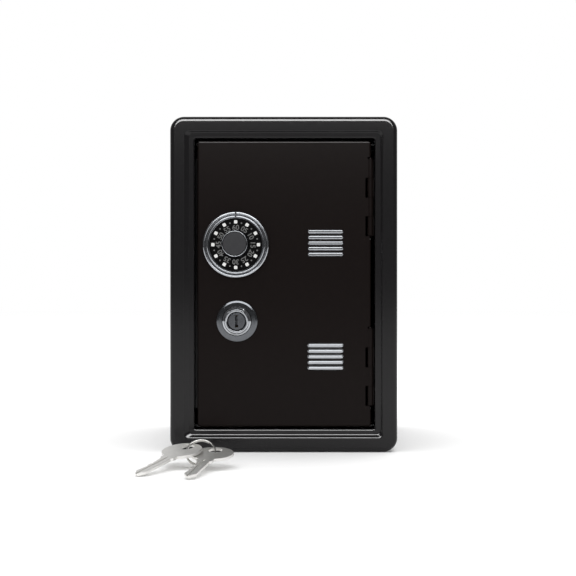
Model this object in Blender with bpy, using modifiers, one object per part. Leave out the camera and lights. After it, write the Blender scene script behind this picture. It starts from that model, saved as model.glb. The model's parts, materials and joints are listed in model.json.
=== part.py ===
"""Toy safe coin bank: a wrapped steel cabinet with a stamped front frame, a hinged steel door,
a freely turning dial, a wafer cam lock and two keys on a split ring.

Metres, +Z up. The origin is on the ground, under the centre of the cabinet. +X is to the right
and -Y is to the front, where the door is. The door is shut and its lock is open.
"""

import math

import bmesh
import bpy
from mathutils import Matrix, Vector

# Cabinet
CABINET_WIDTH = 0.122
CABINET_DEPTH = 0.100
CABINET_HEIGHT = 0.180
CORNER_RADIUS = 0.0075
SHEET = 0.0008  # steel of the cabinet, the frame and the door
CLEARANCE = 0.0003  # between neighbouring pieces

# Coin slot, across the middle of the top
SLOT_LENGTH = 0.036
SLOT_WIDTH = 0.0046

# Front frame: a stamping with a rounded outer edge, a flat band, a step down and a jamb
FRAME_WALL_DEPTH = 0.008  # from the front to the joggle that enters the shell
FRAME_JOGGLE = 0.001
FRAME_FLANGE = 0.006  # the length that nests inside the shell
FRAME_EDGE_RADIUS = 0.0028
FRAME_BAND = 0.0075  # from the outer edge to the top of the step
FRAME_STEP_DEPTH = 0.0014
FRAME_STEP_SOFTNESS = 0.0005  # how far each bend of the step is eased
FRAME_STEP_CORNER = 0.0024
FRAME_LIP = 0.0025  # from the foot of the step to the opening
FRAME_LIP_RADIUS = 0.0009
JAMB_DEPTH = 0.0090
BORDER_LATCH = 0.0130  # from the outer edge to the opening, on each side
BORDER_HINGE = 0.0121
BORDER_TOP = 0.0116
BORDER_BOTTOM = 0.0123
OPENING_CORNER = 0.0012

# Back panel
BACK_FLANGE = 0.008
BACK_EDGE_RADIUS = 0.0014
BACK_PRESSING_BORDER = 0.014
BACK_PRESSING_DEPTH = 0.0012

# Door: a shallow pan with its edges folded back
DOOR_GAP_LATCH = 0.00145
DOOR_GAP_HINGE = 0.0019
DOOR_GAP_TOP = 0.0011
DOOR_GAP_BOTTOM = 0.0010
DOOR_SET_BACK = 0.0030  # from the front of the frame to the door's face
DOOR_DEPTH = 0.0080
DOOR_EDGE_RADIUS = 0.0012
DOOR_CORNER = 0.0015

# Hinges: knuckles alternate door, frame, door, frame from the top
HINGE_FROM_TOP = 0.0100  # from the door's top edge to the upper hinge
HINGE_FROM_BOTTOM = 0.0114  # from the door's bottom edge to the lower hinge
KNUCKLE_PITCH = 0.01035
KNUCKLES = 4
PIN_RADIUS = 0.0006
KNUCKLE_WALL = 0.0006
PIN_HEAD_HEIGHT = 0.0005
PIN_HEAD_SHARE = 0.85  # the pin's head against the knuckle, so that it doesn't stand out
PIN_CROWN_SHARE = 0.6
HINGE_INSET = 0.0004  # from the door's edge in to the pin
KNUCKLE_PROUD = 0.0006  # how far the knuckles stand out of the door's face
KNUCKLE_NOTCH = 0.0031  # from the door's edge to the side of each frame knuckle's notch

# Latch strip: the angle that the door shuts against and that the cam hooks behind
STRIP_REACH = 0.0047  # past the opening's edge, behind the door
STRIP_MARGIN = 0.01005  # from each end of the strip to the opening's edge

# Vents: bars of a bright insert that pass through slots in the door
VENT_FROM_HINGE = 0.0245  # from the door's hinge edge to the vents' middle
VENT_RISES = {"upper": 0.0219, "lower": -0.0393}  # above the door's middle
VENT_BARS = 5
VENT_PITCH = 0.00303
BAR_LENGTH = 0.0190
BAR_WIDTH = 0.0020
BAR_PROUD = 0.0010
BAR_ROUNDING = 0.0006
BAR_CLEARANCE = 0.00015
VENT_PLATE_BORDER = 0.0020
VENT_PLATE_THICKNESS = 0.0006

# Dial
DIAL_FROM_LATCH = 0.0031  # from the door's latch edge to the bezel
DIAL_RISE = 0.0209  # above the door's middle
BEZEL_RADIUS = 0.01775
BEZEL_EASE = 0.0004  # the small chamfers of its rings
BEZEL_RING_WIDTH = 0.0015
BEZEL_RING_HEIGHT = 0.0026
BEZEL_INNER_RING_WIDTH = 0.0011
BEZEL_GROOVE = 0.0006
BEZEL_FLOOR = 0.0006
INDEX_WIDTH = 0.0009
INDEX_DEPTH = 0.0008
DISC_THICKNESS = 0.0012
DISC_RIM_WIDTH = 0.0007
DISC_RIM_HEIGHT = 0.00025
DISC_RIM_SLOPE = 0.3  # of its width, on each side
KNOB_RADIUS = 0.0069
KNOB_TOP_EASE = 0.0003
KNOB_SHOULDER = 0.0006  # how far its rounded shoulder reaches down
KNOB_FOOT_EASE = 0.0006
KNOB_FOOT_HEIGHT = 0.0008
KNOB_HEIGHT = 0.0110
KNOB_CAP_RADIUS = 0.0061
KNOB_CAP_THICKNESS = 0.0006
KNOB_CAP_SINK = 0.0001
KNOB_CAP_EASE = 0.0002
STEM_RADIUS = 0.0020
BOSS_WALL = 0.0014
BOSS_LENGTH = 0.0040
PUSH_NUT_RADIUS = 0.0075
PUSH_NUT_TEETH = 8
PUSH_NUT_TOOTH = 0.0009
DIAL_SCREW_RADIUS = 0.0008
DIAL_SCREW_HEAD_RADIUS = 0.0028
DIAL_SCREW_HEAD_HEIGHT = 0.0014
DIAL_WASHER_RADIUS = 0.0042
WASHER_THICKNESS = 0.0006
SCREW_POINT_SHARE = 0.5  # of the shank's radius
SCREW_CROWN_SHARE = 0.75  # of the head's radius that stays flat
SCREW_SIDE_SHARE = 0.5  # of the head's height that is straight
SCREW_SLOT_DEPTH_SHARE = 0.45  # of the head's height
SCREW_SLOT_WIDTH_SHARE = 0.28  # of the head's radius

# Lock
LOCK_FROM_LATCH = 0.02145  # from the door's latch edge to the lock's middle
LOCK_DROP = 0.0201  # below the door's middle
PLUG_RADIUS = 0.00475
PLUG_SINK = 0.0006
PLUG_EASE = 0.0003
BARREL_WALL = 0.00095
RIM_WIDTH = 0.0006  # how far the head's rim, its shoulder and the collar stand out in turn
HEAD_SHOULDER = 0.0014
ESCUTCHEON_WIDTH = 0.0031
ESCUTCHEON_HEIGHT = 0.0009
ESCUTCHEON_EDGES = (0.0004, 0.0012)  # where its outer bevel starts and ends
LOCK_HEAD_HEIGHT = 0.0035
HEAD_EASE = 0.0004
HEAD_STEPS = (0.0008, 0.0015, 0.0020)  # how far down the rim ends, and the shoulder starts and ends
TAIL_WIDTH = 0.0050
LOCK_NUT_WALL = 0.0020
LOCK_NUT_THICKNESS = 0.0020
CAM_THICKNESS = 0.0015
CAM_OVERLAP = 0.0038  # of the turned cam behind the latch strip
CAM_HUB_RADIUS = 0.0060
CAM_TIP_RADIUS = 0.0042
CAM_WASHER_RADIUS = 0.0042
CAM_SCREW_RADIUS = 0.0009
CAM_SCREW_HEAD_RADIUS = 0.0031
CAM_SCREW_HEAD_HEIGHT = 0.0016
WAFERS = 4
WAFER_PITCH = 0.0020
WAFER_THICKNESS = 0.0007
WAFER_WIDTH = 0.0048
WAFER_TRIM = 0.0015  # how much shorter than the plug's diameter each wafer is
FIRST_WAFER_DEPTH = 0.0048  # from the plug's face to the first wafer

# Keys and their ring
KEY_THICKNESS = 0.0014
KEY_BLADE_WIDTH = 0.0062
KEY_LENGTH = 0.0416
KEY_BOW_LENGTH = 0.0184
KEY_BOW_WIDTH = 0.0214
KEY_HOLE_PLAY = 0.0013  # the hole's radius past what the slanting wire takes up
WIRE_SLANT = 1.5  # how far the wire moves across the hole, for each thickness it goes through
KEY_HOLE_INSET = 0.0049  # from the end of the bow to the hole's centre
KEY_COLLAR_LENGTH = 0.0030
KEY_COLLAR_EXTRA = 0.0011
KEY_CUTS = (0.0009, 0.0017, 0.0006, 0.0013)
KEY_GROOVE_WIDTH = 0.0008
KEY_GROOVE_DEPTH = 0.0004
KEY_TIP_EASE = 0.0002
RING_RADIUS = 0.0072  # to the middle of the wire
RING_WIRE_RADIUS = 0.0004
RING_TURN_PITCH = 0.0009
RING_TURNS = 1.9
RING_START = math.radians(60)
RING_LEAN = math.radians(48)
RING_LIFT = 0.00125  # of the lowest turn's middle above the ground
RING_FROM_SIDE = 0.0201  # from the cabinet's latch side to the ring's middle
RING_FROM_FRONT = 0.0364  # from the cabinet's front to the ring's middle
KEY_PLACES = {  # place on the ring, heading in plan, slope down to the tip
    "key_1": (math.radians(159), math.radians(-125), math.radians(11.5)),
    "key_2": (math.radians(2), math.radians(-106), math.radians(8.6)),
}

# Where the main surfaces are
FRONT_Y = -CABINET_DEPTH / 2
BACK_Y = CABINET_DEPTH / 2
DOOR_Y = FRONT_Y + DOOR_SET_BACK
SHELL_FRONT_Y = FRONT_Y + FRAME_WALL_DEPTH + FRAME_JOGGLE + CLEARANCE
DOOR_BACK_Y = DOOR_Y + DOOR_DEPTH
STRIP_Y = DOOR_BACK_Y + CLEARANCE
CAM_Y = STRIP_Y + SHEET + CLEARANCE
KNUCKLE_RADIUS = PIN_RADIUS + CLEARANCE + KNUCKLE_WALL
BARREL_RADIUS = PLUG_RADIUS + CLEARANCE + BARREL_WALL
LOCK_RIM_RADIUS = BARREL_RADIUS + RIM_WIDTH
LOCK_HEAD_RADIUS = LOCK_RIM_RADIUS + HEAD_SHOULDER
ESCUTCHEON_RADIUS = LOCK_HEAD_RADIUS + ESCUTCHEON_WIDTH

# Outlines seen from the front, as left, right, bottom, top
CABINET = (-CABINET_WIDTH / 2, CABINET_WIDTH / 2, 0.0, CABINET_HEIGHT)
OPENING = (
    -CABINET_WIDTH / 2 + BORDER_LATCH,
    CABINET_WIDTH / 2 - BORDER_HINGE,
    BORDER_BOTTOM,
    CABINET_HEIGHT - BORDER_TOP,
)
DOOR = (
    OPENING[0] + DOOR_GAP_LATCH,
    OPENING[1] - DOOR_GAP_HINGE,
    OPENING[2] + DOOR_GAP_BOTTOM,
    OPENING[3] - DOOR_GAP_TOP,
)
DOOR_MIDDLE = (DOOR[2] + DOOR[3]) / 2
HINGE_X = DOOR[1] - HINGE_INSET
HINGE_Y = DOOR_Y + KNUCKLE_RADIUS - KNUCKLE_PROUD
HINGE_TOPS = {
    "upper": DOOR[3] - HINGE_FROM_TOP,
    "lower": DOOR[2] + HINGE_FROM_BOTTOM + KNUCKLES * KNUCKLE_PITCH,
}
VENT_X = DOOR[1] - VENT_FROM_HINGE
VENT_HEIGHTS = {side: DOOR_MIDDLE + rise for side, rise in VENT_RISES.items()}
DIAL_X = DOOR[0] + DIAL_FROM_LATCH + BEZEL_RADIUS
DIAL_Z = DOOR_MIDDLE + DIAL_RISE
LOCK_X = DOOR[0] + LOCK_FROM_LATCH
LOCK_Z = DOOR_MIDDLE - LOCK_DROP
CAM_REACH = LOCK_X - OPENING[0] - STRIP_REACH + CAM_OVERLAP
KEY_HOLE_RADIUS = KEY_HOLE_PLAY + WIRE_SLANT * KEY_THICKNESS
RING_CENTRE = (
    CABINET[0] + RING_FROM_SIDE,
    FRONT_Y - RING_FROM_FRONT,
    RING_LIFT + RING_RADIUS * math.sin(RING_LEAN),
)

ROUND_STEPS = 32
SMALL_ROUND_STEPS = 20
LARGE_ROUND_STEPS = 48
HUB_STEPS = 16
TIP_STEPS = 8
EDGE_STEPS = 6
DOOR_EDGE_STEPS = 4
LIP_STEPS = 3
SMOOTH_UNDER = math.radians(35)  # faces that meet at less than this are shaded as one
CUT_MARGIN = 0.002  # how far a cutter runs past what it cuts
WELD = 1e-7  # corners closer than this are one corner
LEAST_STRAIGHT = 0.00005  # half the shortest flat that a bar keeps between its round corners

# Turns a piece drawn with +Z towards the viewer and +Y up so that it faces the front
FACING_FRONT = Matrix.Rotation(math.radians(90), 4, "X")


# ---------------------------------------------------------------- scene and materials


def clear_scene():
    for obj in list(bpy.data.objects):
        bpy.data.objects.remove(obj)


def new_collection(name):
    collection = bpy.data.collections.new(name)
    bpy.context.scene.collection.children.link(collection)
    return collection


def new_material(name, colour, roughness, metallic):
    material = bpy.data.materials.new(name)
    material.use_nodes = True
    shader = material.node_tree.nodes["Principled BSDF"]
    shader.inputs["Base Color"].default_value = (*colour, 1.0)
    shader.inputs["Roughness"].default_value = roughness
    shader.inputs["Metallic"].default_value = metallic
    return material


clear_scene()
PARTS = new_collection("toy_safe_coin_bank")
CUTTERS = new_collection("cutters")

BLACK_ENAMEL = new_material("black_enamel", (0.012, 0.011, 0.011), 0.25, 0.0)
CHROME = new_material("chrome", (0.75, 0.76, 0.78), 0.08, 1.0)
BLACK_PLASTIC = new_material("black_plastic", (0.010, 0.010, 0.011), 0.35, 0.0)
CAP_GREY = new_material("cap_grey", (0.05, 0.05, 0.05), 0.4, 0.0)
ZINC_STEEL = new_material("zinc_steel", (0.55, 0.56, 0.58), 0.35, 1.0)
BRASS = new_material("brass", (0.60, 0.42, 0.16), 0.3, 1.0)
KEY_NICKEL = new_material("key_nickel", (0.66, 0.65, 0.62), 0.3, 1.0)


# ---------------------------------------------------------------- shapes


def add_part(name, mesh, material, matrix=None):
    """A visible piece, shaded smooth where its faces meet at less than a set angle."""
    obj = bpy.data.objects.new(name, mesh)
    PARTS.objects.link(obj)
    mesh.materials.append(material)
    mesh.shade_smooth()
    mesh.set_sharp_from_angle(angle=SMOOTH_UNDER)
    if matrix is not None:
        obj.matrix_world = matrix
    return obj


def add_helper(name, mesh, matrix=None):
    """A hidden solid that cuts a piece or is joined to it."""
    obj = bpy.data.objects.new(name, mesh)
    CUTTERS.objects.link(obj)
    obj.hide_render = True
    obj.display_type = "WIRE"
    if matrix is not None:
        obj.matrix_world = matrix
    return obj


def combine(piece, helper, operation):
    modifier = piece.modifiers.new(f"{operation.lower()}_{helper.name}", "BOOLEAN")
    modifier.operation = operation
    modifier.object = helper
    modifier.solver = "EXACT"


def cut(piece, helper):
    combine(piece, helper, "DIFFERENCE")


def join(piece, helper):
    combine(piece, helper, "UNION")


def solidify(piece, thickness):
    """Gives a sheet its thickness, on the side away from its faces."""
    modifier = piece.modifiers.new("sheet", "SOLIDIFY")
    modifier.thickness = thickness
    modifier.offset = -1.0
    modifier.use_even_offset = True


def finish_mesh(name, bm):
    bmesh.ops.remove_doubles(bm, verts=bm.verts, dist=WELD)
    mesh = bpy.data.meshes.new(name)
    bm.to_mesh(mesh)
    bm.free()
    return mesh


def box_mesh(name, low, high):
    low, high = Vector(low), Vector(high)
    bm = bmesh.new()
    bmesh.ops.create_cube(bm, size=1.0)
    bmesh.ops.scale(bm, vec=high - low, verts=bm.verts)
    bmesh.ops.translate(bm, vec=(high + low) / 2, verts=bm.verts)
    return finish_mesh(name, bm)


def cylinder_mesh(name, radius, start, end, steps=SMALL_ROUND_STEPS):
    """A closed cylinder between two points."""
    start, end = Vector(start), Vector(end)
    along = end - start
    turn = along.to_track_quat("Z", "Y").to_matrix().to_4x4()
    bm = bmesh.new()
    bmesh.ops.create_cone(
        bm,
        cap_ends=True,
        segments=steps,
        radius1=radius,
        radius2=radius,
        depth=along.length,
        matrix=Matrix.Translation((start + end) / 2) @ turn,
    )
    return finish_mesh(name, bm)


def turned_part(name, profile, material, matrix, steps=ROUND_STEPS, bored=False):
    """A turned piece about its local Z. The profile, as radius and height, runs down the outer side,
    and a bored piece's profile closes up the inner side."""
    bm = bmesh.new()
    verts = [bm.verts.new((radius, 0.0, height)) for radius, height in profile]
    pairs = list(zip(verts, verts[1:]))
    if bored:
        pairs.append((verts[-1], verts[0]))
    for first, second in pairs:
        bm.edges.new((first, second))
    mesh = bpy.data.meshes.new(name)
    bm.to_mesh(mesh)
    bm.free()
    obj = add_part(name, mesh, material, matrix)
    screw = obj.modifiers.new("turned", "SCREW")
    screw.axis = "Z"
    screw.angle = math.tau
    screw.steps = steps
    screw.render_steps = steps
    screw.use_merge_vertices = True
    screw.merge_threshold = 0.00001
    screw.use_smooth_shade = True
    return obj


def rounded_outline(sides, inset, radius, steps=5):
    """Points of a rectangle with round corners, anticlockwise from its lower right corner."""
    left, right, bottom, top = sides
    left, right = left + inset + radius, right - inset - radius
    bottom, top = bottom + inset + radius, top - inset - radius
    points = []
    for corner, (x, z) in enumerate(((right, bottom), (right, top), (left, top), (left, bottom))):
        for step in range(steps + 1):
            angle = math.radians(90) * (corner - 1 + step / steps)
            points.append((x + radius * math.cos(angle), z + radius * math.sin(angle)))
    return points


def loft_mesh(name, rings, cap_first=False, cap_last=False, flip=False):
    """A skin over rings that have the same number of points."""
    bm = bmesh.new()
    rows = [[bm.verts.new(point) for point in ring] for ring in rings]
    count = len(rows[0])
    for row, following in zip(rows, rows[1:]):
        for k in range(count):
            after = (k + 1) % count
            bm.faces.new((row[k], row[after], following[after], following[k]))
    if cap_first:
        bm.faces.new(list(reversed(rows[0])))
    if cap_last:
        bm.faces.new(rows[-1])
    if flip:
        bmesh.ops.reverse_faces(bm, faces=bm.faces)
    return finish_mesh(name, bm)


def front_ring(sides, inset, radius, y):
    """A rounded outline that stands upright at a depth y."""
    return [(x, y, z) for x, z in rounded_outline(sides, inset, radius)]


def circle_outline(radius, steps=ROUND_STEPS, centre=(0.0, 0.0)):
    turns = (math.tau * step / steps for step in range(steps))
    return [(centre[0] + radius * math.cos(a), centre[1] + radius * math.sin(a)) for a in turns]


def flat_mesh(name, outlines, thickness):
    """A plate centred on its local XY plane: the first outline is its edge and the rest are holes."""
    curve = bpy.data.curves.new(name, "CURVE")
    curve.dimensions = "2D"
    curve.fill_mode = "BOTH"
    curve.extrude = thickness / 2
    for outline in outlines:
        spline = curve.splines.new("POLY")
        spline.points.add(len(outline) - 1)
        for point, (x, y) in zip(spline.points, outline):
            point.co = (x, y, 0.0, 1.0)
        spline.use_cyclic_u = True
    drawn = bpy.data.objects.new(name, curve)
    CUTTERS.objects.link(drawn)
    graph = bpy.context.evaluated_depsgraph_get()
    mesh = bpy.data.meshes.new_from_object(drawn.evaluated_get(graph))
    bpy.data.objects.remove(drawn)
    bpy.data.curves.remove(curve)
    bm = bmesh.new()
    bm.from_mesh(mesh)
    bmesh.ops.remove_doubles(bm, verts=bm.verts, dist=WELD)
    bmesh.ops.recalc_face_normals(bm, faces=bm.faces)
    bm.to_mesh(mesh)
    bm.free()
    mesh.materials.clear()
    return mesh


def pill_mesh(name, length, width, bottom, top, rounding=0.0, steps=3):
    """A bar with round ends that rises along local Z, with its top edge rounded."""
    sides = (-length / 2, length / 2, -width / 2, width / 2)
    levels = [(0.0, bottom), (0.0, top - rounding)]
    if rounding:
        for step in (1, 2):
            angle = math.radians(45) * step
            levels.append((rounding * (1 - math.cos(angle)), top - rounding * (1 - math.sin(angle))))
    rings = []
    for inset, level in levels:
        outline = rounded_outline(sides, inset, width / 2 - inset - LEAST_STRAIGHT, steps)
        rings.append([(x, y, level) for x, y in outline])
    return loft_mesh(name, rings, cap_first=True, cap_last=True)


# ---------------------------------------------------------------- cabinet


def make_body_shell():
    rings = [front_ring(CABINET, 0.0, CORNER_RADIUS, y) for y in (BACK_Y, SHELL_FRONT_Y)]
    shell = add_part("body_shell", loft_mesh("body_shell", rings), BLACK_ENAMEL)
    solidify(shell, SHEET)
    slot = pill_mesh("coin_slot_cutter", SLOT_LENGTH, SLOT_WIDTH, -CUT_MARGIN, CUT_MARGIN)
    cut(shell, add_helper("coin_slot_cutter", slot, Matrix.Translation((0.0, 0.0, CABINET_HEIGHT))))


def make_back_panel():
    fit = SHEET + CLEARANCE
    corner = CORNER_RADIUS - fit
    rings = [front_ring(CABINET, fit, corner, BACK_Y - BACK_FLANGE)]
    for step in range(4):
        angle = math.radians(30) * step
        inset = BACK_EDGE_RADIUS * (1 - math.cos(angle))
        y = BACK_Y - BACK_EDGE_RADIUS * (1 - math.sin(angle))
        rings.append(front_ring(CABINET, fit + inset, corner - inset, y))
    border = fit + BACK_PRESSING_BORDER
    rings.append(front_ring(CABINET, border, corner, BACK_Y))
    rings.append(
        front_ring(CABINET, border + BACK_PRESSING_DEPTH, corner, BACK_Y - BACK_PRESSING_DEPTH)
    )
    mesh = loft_mesh("back_panel", rings, cap_last=True, flip=True)
    solidify(add_part("back_panel", mesh, BLACK_ENAMEL), SHEET)


def make_front_frame():
    """The stamping, ringed from the flange inside the shell, round the front and back along the jamb."""
    fit = SHEET + CLEARANCE
    flange_y = FRONT_Y + FRAME_WALL_DEPTH + FRAME_JOGGLE
    rings = [
        front_ring(CABINET, fit, CORNER_RADIUS - fit, flange_y + FRAME_FLANGE),
        front_ring(CABINET, fit, CORNER_RADIUS - fit, flange_y),
        front_ring(CABINET, 0.0, CORNER_RADIUS, FRONT_Y + FRAME_WALL_DEPTH),
    ]
    for step in range(EDGE_STEPS + 1):
        angle = math.radians(90) * step / EDGE_STEPS
        inset = FRAME_EDGE_RADIUS * (1 - math.cos(angle))
        y = FRONT_Y + FRAME_EDGE_RADIUS * (1 - math.sin(angle))
        rings.append(front_ring(CABINET, inset, CORNER_RADIUS - inset, y))
    soft = FRAME_STEP_SOFTNESS
    step_y = FRONT_Y + FRAME_STEP_DEPTH
    rings += [
        front_ring(CABINET, FRAME_BAND - soft, FRAME_STEP_CORNER, FRONT_Y),
        front_ring(CABINET, FRAME_BAND, FRAME_STEP_CORNER, FRONT_Y + soft / 4),
        front_ring(CABINET, FRAME_BAND + soft / 2, FRAME_STEP_CORNER, FRONT_Y + soft),
        front_ring(OPENING, -FRAME_LIP - soft / 2, FRAME_STEP_CORNER, step_y - soft),
        front_ring(OPENING, -FRAME_LIP, FRAME_STEP_CORNER, step_y - soft / 4),
        front_ring(OPENING, -FRAME_LIP + soft, FRAME_STEP_CORNER, step_y),
    ]
    for step in range(LIP_STEPS + 1):
        angle = math.radians(90) * step / LIP_STEPS
        inset = -FRAME_LIP_RADIUS * (1 - math.sin(angle))
        y = step_y + FRAME_LIP_RADIUS * (1 - math.cos(angle))
        rings.append(front_ring(OPENING, inset, OPENING_CORNER - inset, y))
    rings.append(front_ring(OPENING, 0.0, OPENING_CORNER, FRONT_Y + JAMB_DEPTH))
    solidify(add_part("front_frame", loft_mesh("front_frame", rings), BLACK_ENAMEL), SHEET)


def make_latch_strip():
    """An angle, drawn in plan: one leg along the outside of the jamb, the other behind the door."""
    outer = OPENING[0] - SHEET - CLEARANCE
    front = FRONT_Y + FRAME_STEP_DEPTH + SHEET + CLEARANCE
    tip = OPENING[0] + STRIP_REACH
    outline = [
        (outer - SHEET, front),
        (outer, front),
        (outer, STRIP_Y),
        (tip, STRIP_Y),
        (tip, STRIP_Y + SHEET),
        (outer - SHEET, STRIP_Y + SHEET),
    ]
    middle = Matrix.Translation((0.0, 0.0, (OPENING[2] + OPENING[3]) / 2))
    mesh = flat_mesh("latch_strip", [outline], OPENING[3] - OPENING[2] - 2 * STRIP_MARGIN)
    add_part("latch_strip", mesh, BLACK_ENAMEL, middle)


# ---------------------------------------------------------------- door and hinges


def knuckle_span(top, index):
    """The lowest and highest point of one knuckle, counted from the top of its hinge."""
    high = top - index * KNUCKLE_PITCH
    return high - KNUCKLE_PITCH + CLEARANCE, high


def knuckle_mesh(name, span):
    return cylinder_mesh(
        name, KNUCKLE_RADIUS, (HINGE_X, HINGE_Y, span[0]), (HINGE_X, HINGE_Y, span[1])
    )


def pin_bore(name, top):
    bottom = top - KNUCKLES * KNUCKLE_PITCH - CUT_MARGIN
    mesh = cylinder_mesh(
        name,
        PIN_RADIUS + CLEARANCE,
        (HINGE_X, HINGE_Y, bottom),
        (HINGE_X, HINGE_Y, top + CUT_MARGIN),
    )
    return add_helper(name, mesh)


def fit_hinge_to_door(door, side, top):
    """Notches the door's edge for one hinge, then rolls the door's own knuckles onto it."""
    relief_y = HINGE_Y + KNUCKLE_RADIUS + 2 * CLEARANCE
    high = top + PIN_HEAD_HEIGHT + 2 * CLEARANCE
    low = top - KNUCKLES * KNUCKLE_PITCH - CLEARANCE
    past = OPENING[1]
    boxes = {
        "edge": ((HINGE_X, DOOR_Y - CUT_MARGIN, low), (past, relief_y, high)),
        "fold": (
            (HINGE_X - KNUCKLE_RADIUS, DOOR_Y + SHEET + CLEARANCE, low),
            (past, relief_y, high),
        ),
        "head": (
            (HINGE_X - KNUCKLE_RADIUS, DOOR_Y - CUT_MARGIN, top),
            (past, relief_y, high),
        ),
    }
    for index in range(1, KNUCKLES, 2):
        bottom, upper = knuckle_span(top, index)
        boxes[f"notch_{index}"] = (
            (DOOR[1] - KNUCKLE_NOTCH, DOOR_Y - CUT_MARGIN, bottom - CLEARANCE),
            (past, relief_y, upper + CLEARANCE),
        )
    for what, (start, end) in boxes.items():
        name = f"hinge_{side}_{what}_cutter"
        cut(door, add_helper(name, box_mesh(name, start, end)))
    for index in range(0, KNUCKLES, 2):
        name = f"hinge_{side}_door_knuckle_{index}"
        join(door, add_helper(name, knuckle_mesh(name, knuckle_span(top, index))))
    cut(door, pin_bore(f"hinge_{side}_door_bore", top))


def make_door_panel():
    rings = [front_ring(DOOR, 0.0, DOOR_CORNER, DOOR_BACK_Y)]
    for step in range(DOOR_EDGE_STEPS + 1):
        angle = math.radians(90) * step / DOOR_EDGE_STEPS
        inset = DOOR_EDGE_RADIUS * (1 - math.cos(angle))
        y = DOOR_Y + DOOR_EDGE_RADIUS * (1 - math.sin(angle))
        rings.append(front_ring(DOOR, inset, DOOR_CORNER - inset, y))
    door = add_part("door_panel", loft_mesh("door_panel", rings, cap_last=True), BLACK_ENAMEL)
    solidify(door, SHEET)
    for name, x, z, radius in (
        ("dial_hole_cutter", DIAL_X, DIAL_Z, STEM_RADIUS + BOSS_WALL + 2 * CLEARANCE),
        ("lock_hole_cutter", LOCK_X, LOCK_Z, BARREL_RADIUS + CLEARANCE),
    ):
        start = (x, DOOR_Y - CUT_MARGIN, z)
        end = (x, DOOR_Y + SHEET + CUT_MARGIN, z)
        cut(door, add_helper(name, cylinder_mesh(name, radius, start, end, ROUND_STEPS)))
    for side, height in VENT_HEIGHTS.items():
        for index, offset in enumerate(bar_offsets()):
            name = f"vent_{side}_slot_{index}"
            mesh = pill_mesh(
                name,
                BAR_LENGTH + 2 * BAR_CLEARANCE,
                BAR_WIDTH + 2 * BAR_CLEARANCE,
                -SHEET - CUT_MARGIN,
                CUT_MARGIN,
            )
            cut(door, add_helper(name, mesh, at_door(VENT_X, height + offset)))
    for side, top in HINGE_TOPS.items():
        fit_hinge_to_door(door, side, top)


def make_hinge(side, top):
    """The frame's leaf with its knuckles, and the pin."""
    leaf_left = HINGE_X + KNUCKLE_RADIUS - CLEARANCE
    leaf_right = OPENING[1] - CLEARANCE
    back_y = FRONT_Y + JAMB_DEPTH - CLEARANCE
    clear_y = HINGE_Y + KNUCKLE_RADIUS + CLEARANCE
    low = top - KNUCKLES * KNUCKLE_PITCH + CLEARANCE
    name = f"hinge_{side}_leaf"
    leaf_mesh = box_mesh(name, (leaf_left, clear_y, low), (leaf_right, back_y, top))
    leaf = add_part(name, leaf_mesh, BLACK_ENAMEL)
    for index in range(1, KNUCKLES, 2):
        span = knuckle_span(top, index)
        start = (leaf_left, HINGE_Y, span[0])
        end = (leaf_right, clear_y + CLEARANCE, span[1])
        for what, mesh in (
            ("tab", box_mesh("tab", start, end)),
            ("knuckle", knuckle_mesh("knuckle", span)),
        ):
            join(leaf, add_helper(f"hinge_{side}_frame_{what}_{index}", mesh))
    cut(leaf, pin_bore(f"hinge_{side}_frame_bore", top))
    head_bottom = top + CLEARANCE
    pin_profile = [
        (0.0, head_bottom + PIN_HEAD_HEIGHT),
        (KNUCKLE_RADIUS * PIN_CROWN_SHARE, head_bottom + PIN_HEAD_HEIGHT),
        (KNUCKLE_RADIUS * PIN_HEAD_SHARE, head_bottom + PIN_HEAD_HEIGHT / 2),
        (KNUCKLE_RADIUS * PIN_HEAD_SHARE, head_bottom),
        (PIN_RADIUS, head_bottom),
        (PIN_RADIUS, low),
        (0.0, low),
    ]
    place = Matrix.Translation((HINGE_X, HINGE_Y, 0.0))
    turned_part(f"hinge_{side}_pin", pin_profile, BLACK_ENAMEL, place, SMALL_ROUND_STEPS)


def at_door(x, z):
    """The place of a piece that is drawn on the door's face, with +Z towards the viewer."""
    return Matrix.Translation((x, DOOR_Y, z)) @ FACING_FRONT


# ---------------------------------------------------------------- vents


def bar_offsets():
    return [(index - (VENT_BARS - 1) / 2) * VENT_PITCH for index in range(VENT_BARS)]


def make_vent(side, height):
    name = f"vent_insert_{side}"
    top = -SHEET - CLEARANCE
    half_width = BAR_LENGTH / 2 + VENT_PLATE_BORDER
    half_height = (VENT_BARS - 1) / 2 * VENT_PITCH + BAR_WIDTH / 2 + VENT_PLATE_BORDER
    plate = box_mesh(
        name,
        (-half_width, -half_height, top - VENT_PLATE_THICKNESS),
        (half_width, half_height, top),
    )
    insert = add_part(name, plate, CHROME, at_door(VENT_X, height))
    for index, offset in enumerate(bar_offsets()):
        bar_name = f"{name}_bar_{index}"
        bar_foot = top - VENT_PLATE_THICKNESS / 2
        bar = pill_mesh(bar_name, BAR_LENGTH, BAR_WIDTH, bar_foot, BAR_PROUD, BAR_ROUNDING)
        join(insert, add_helper(bar_name, bar, at_door(VENT_X, height + offset)))


# ---------------------------------------------------------------- dial


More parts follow.
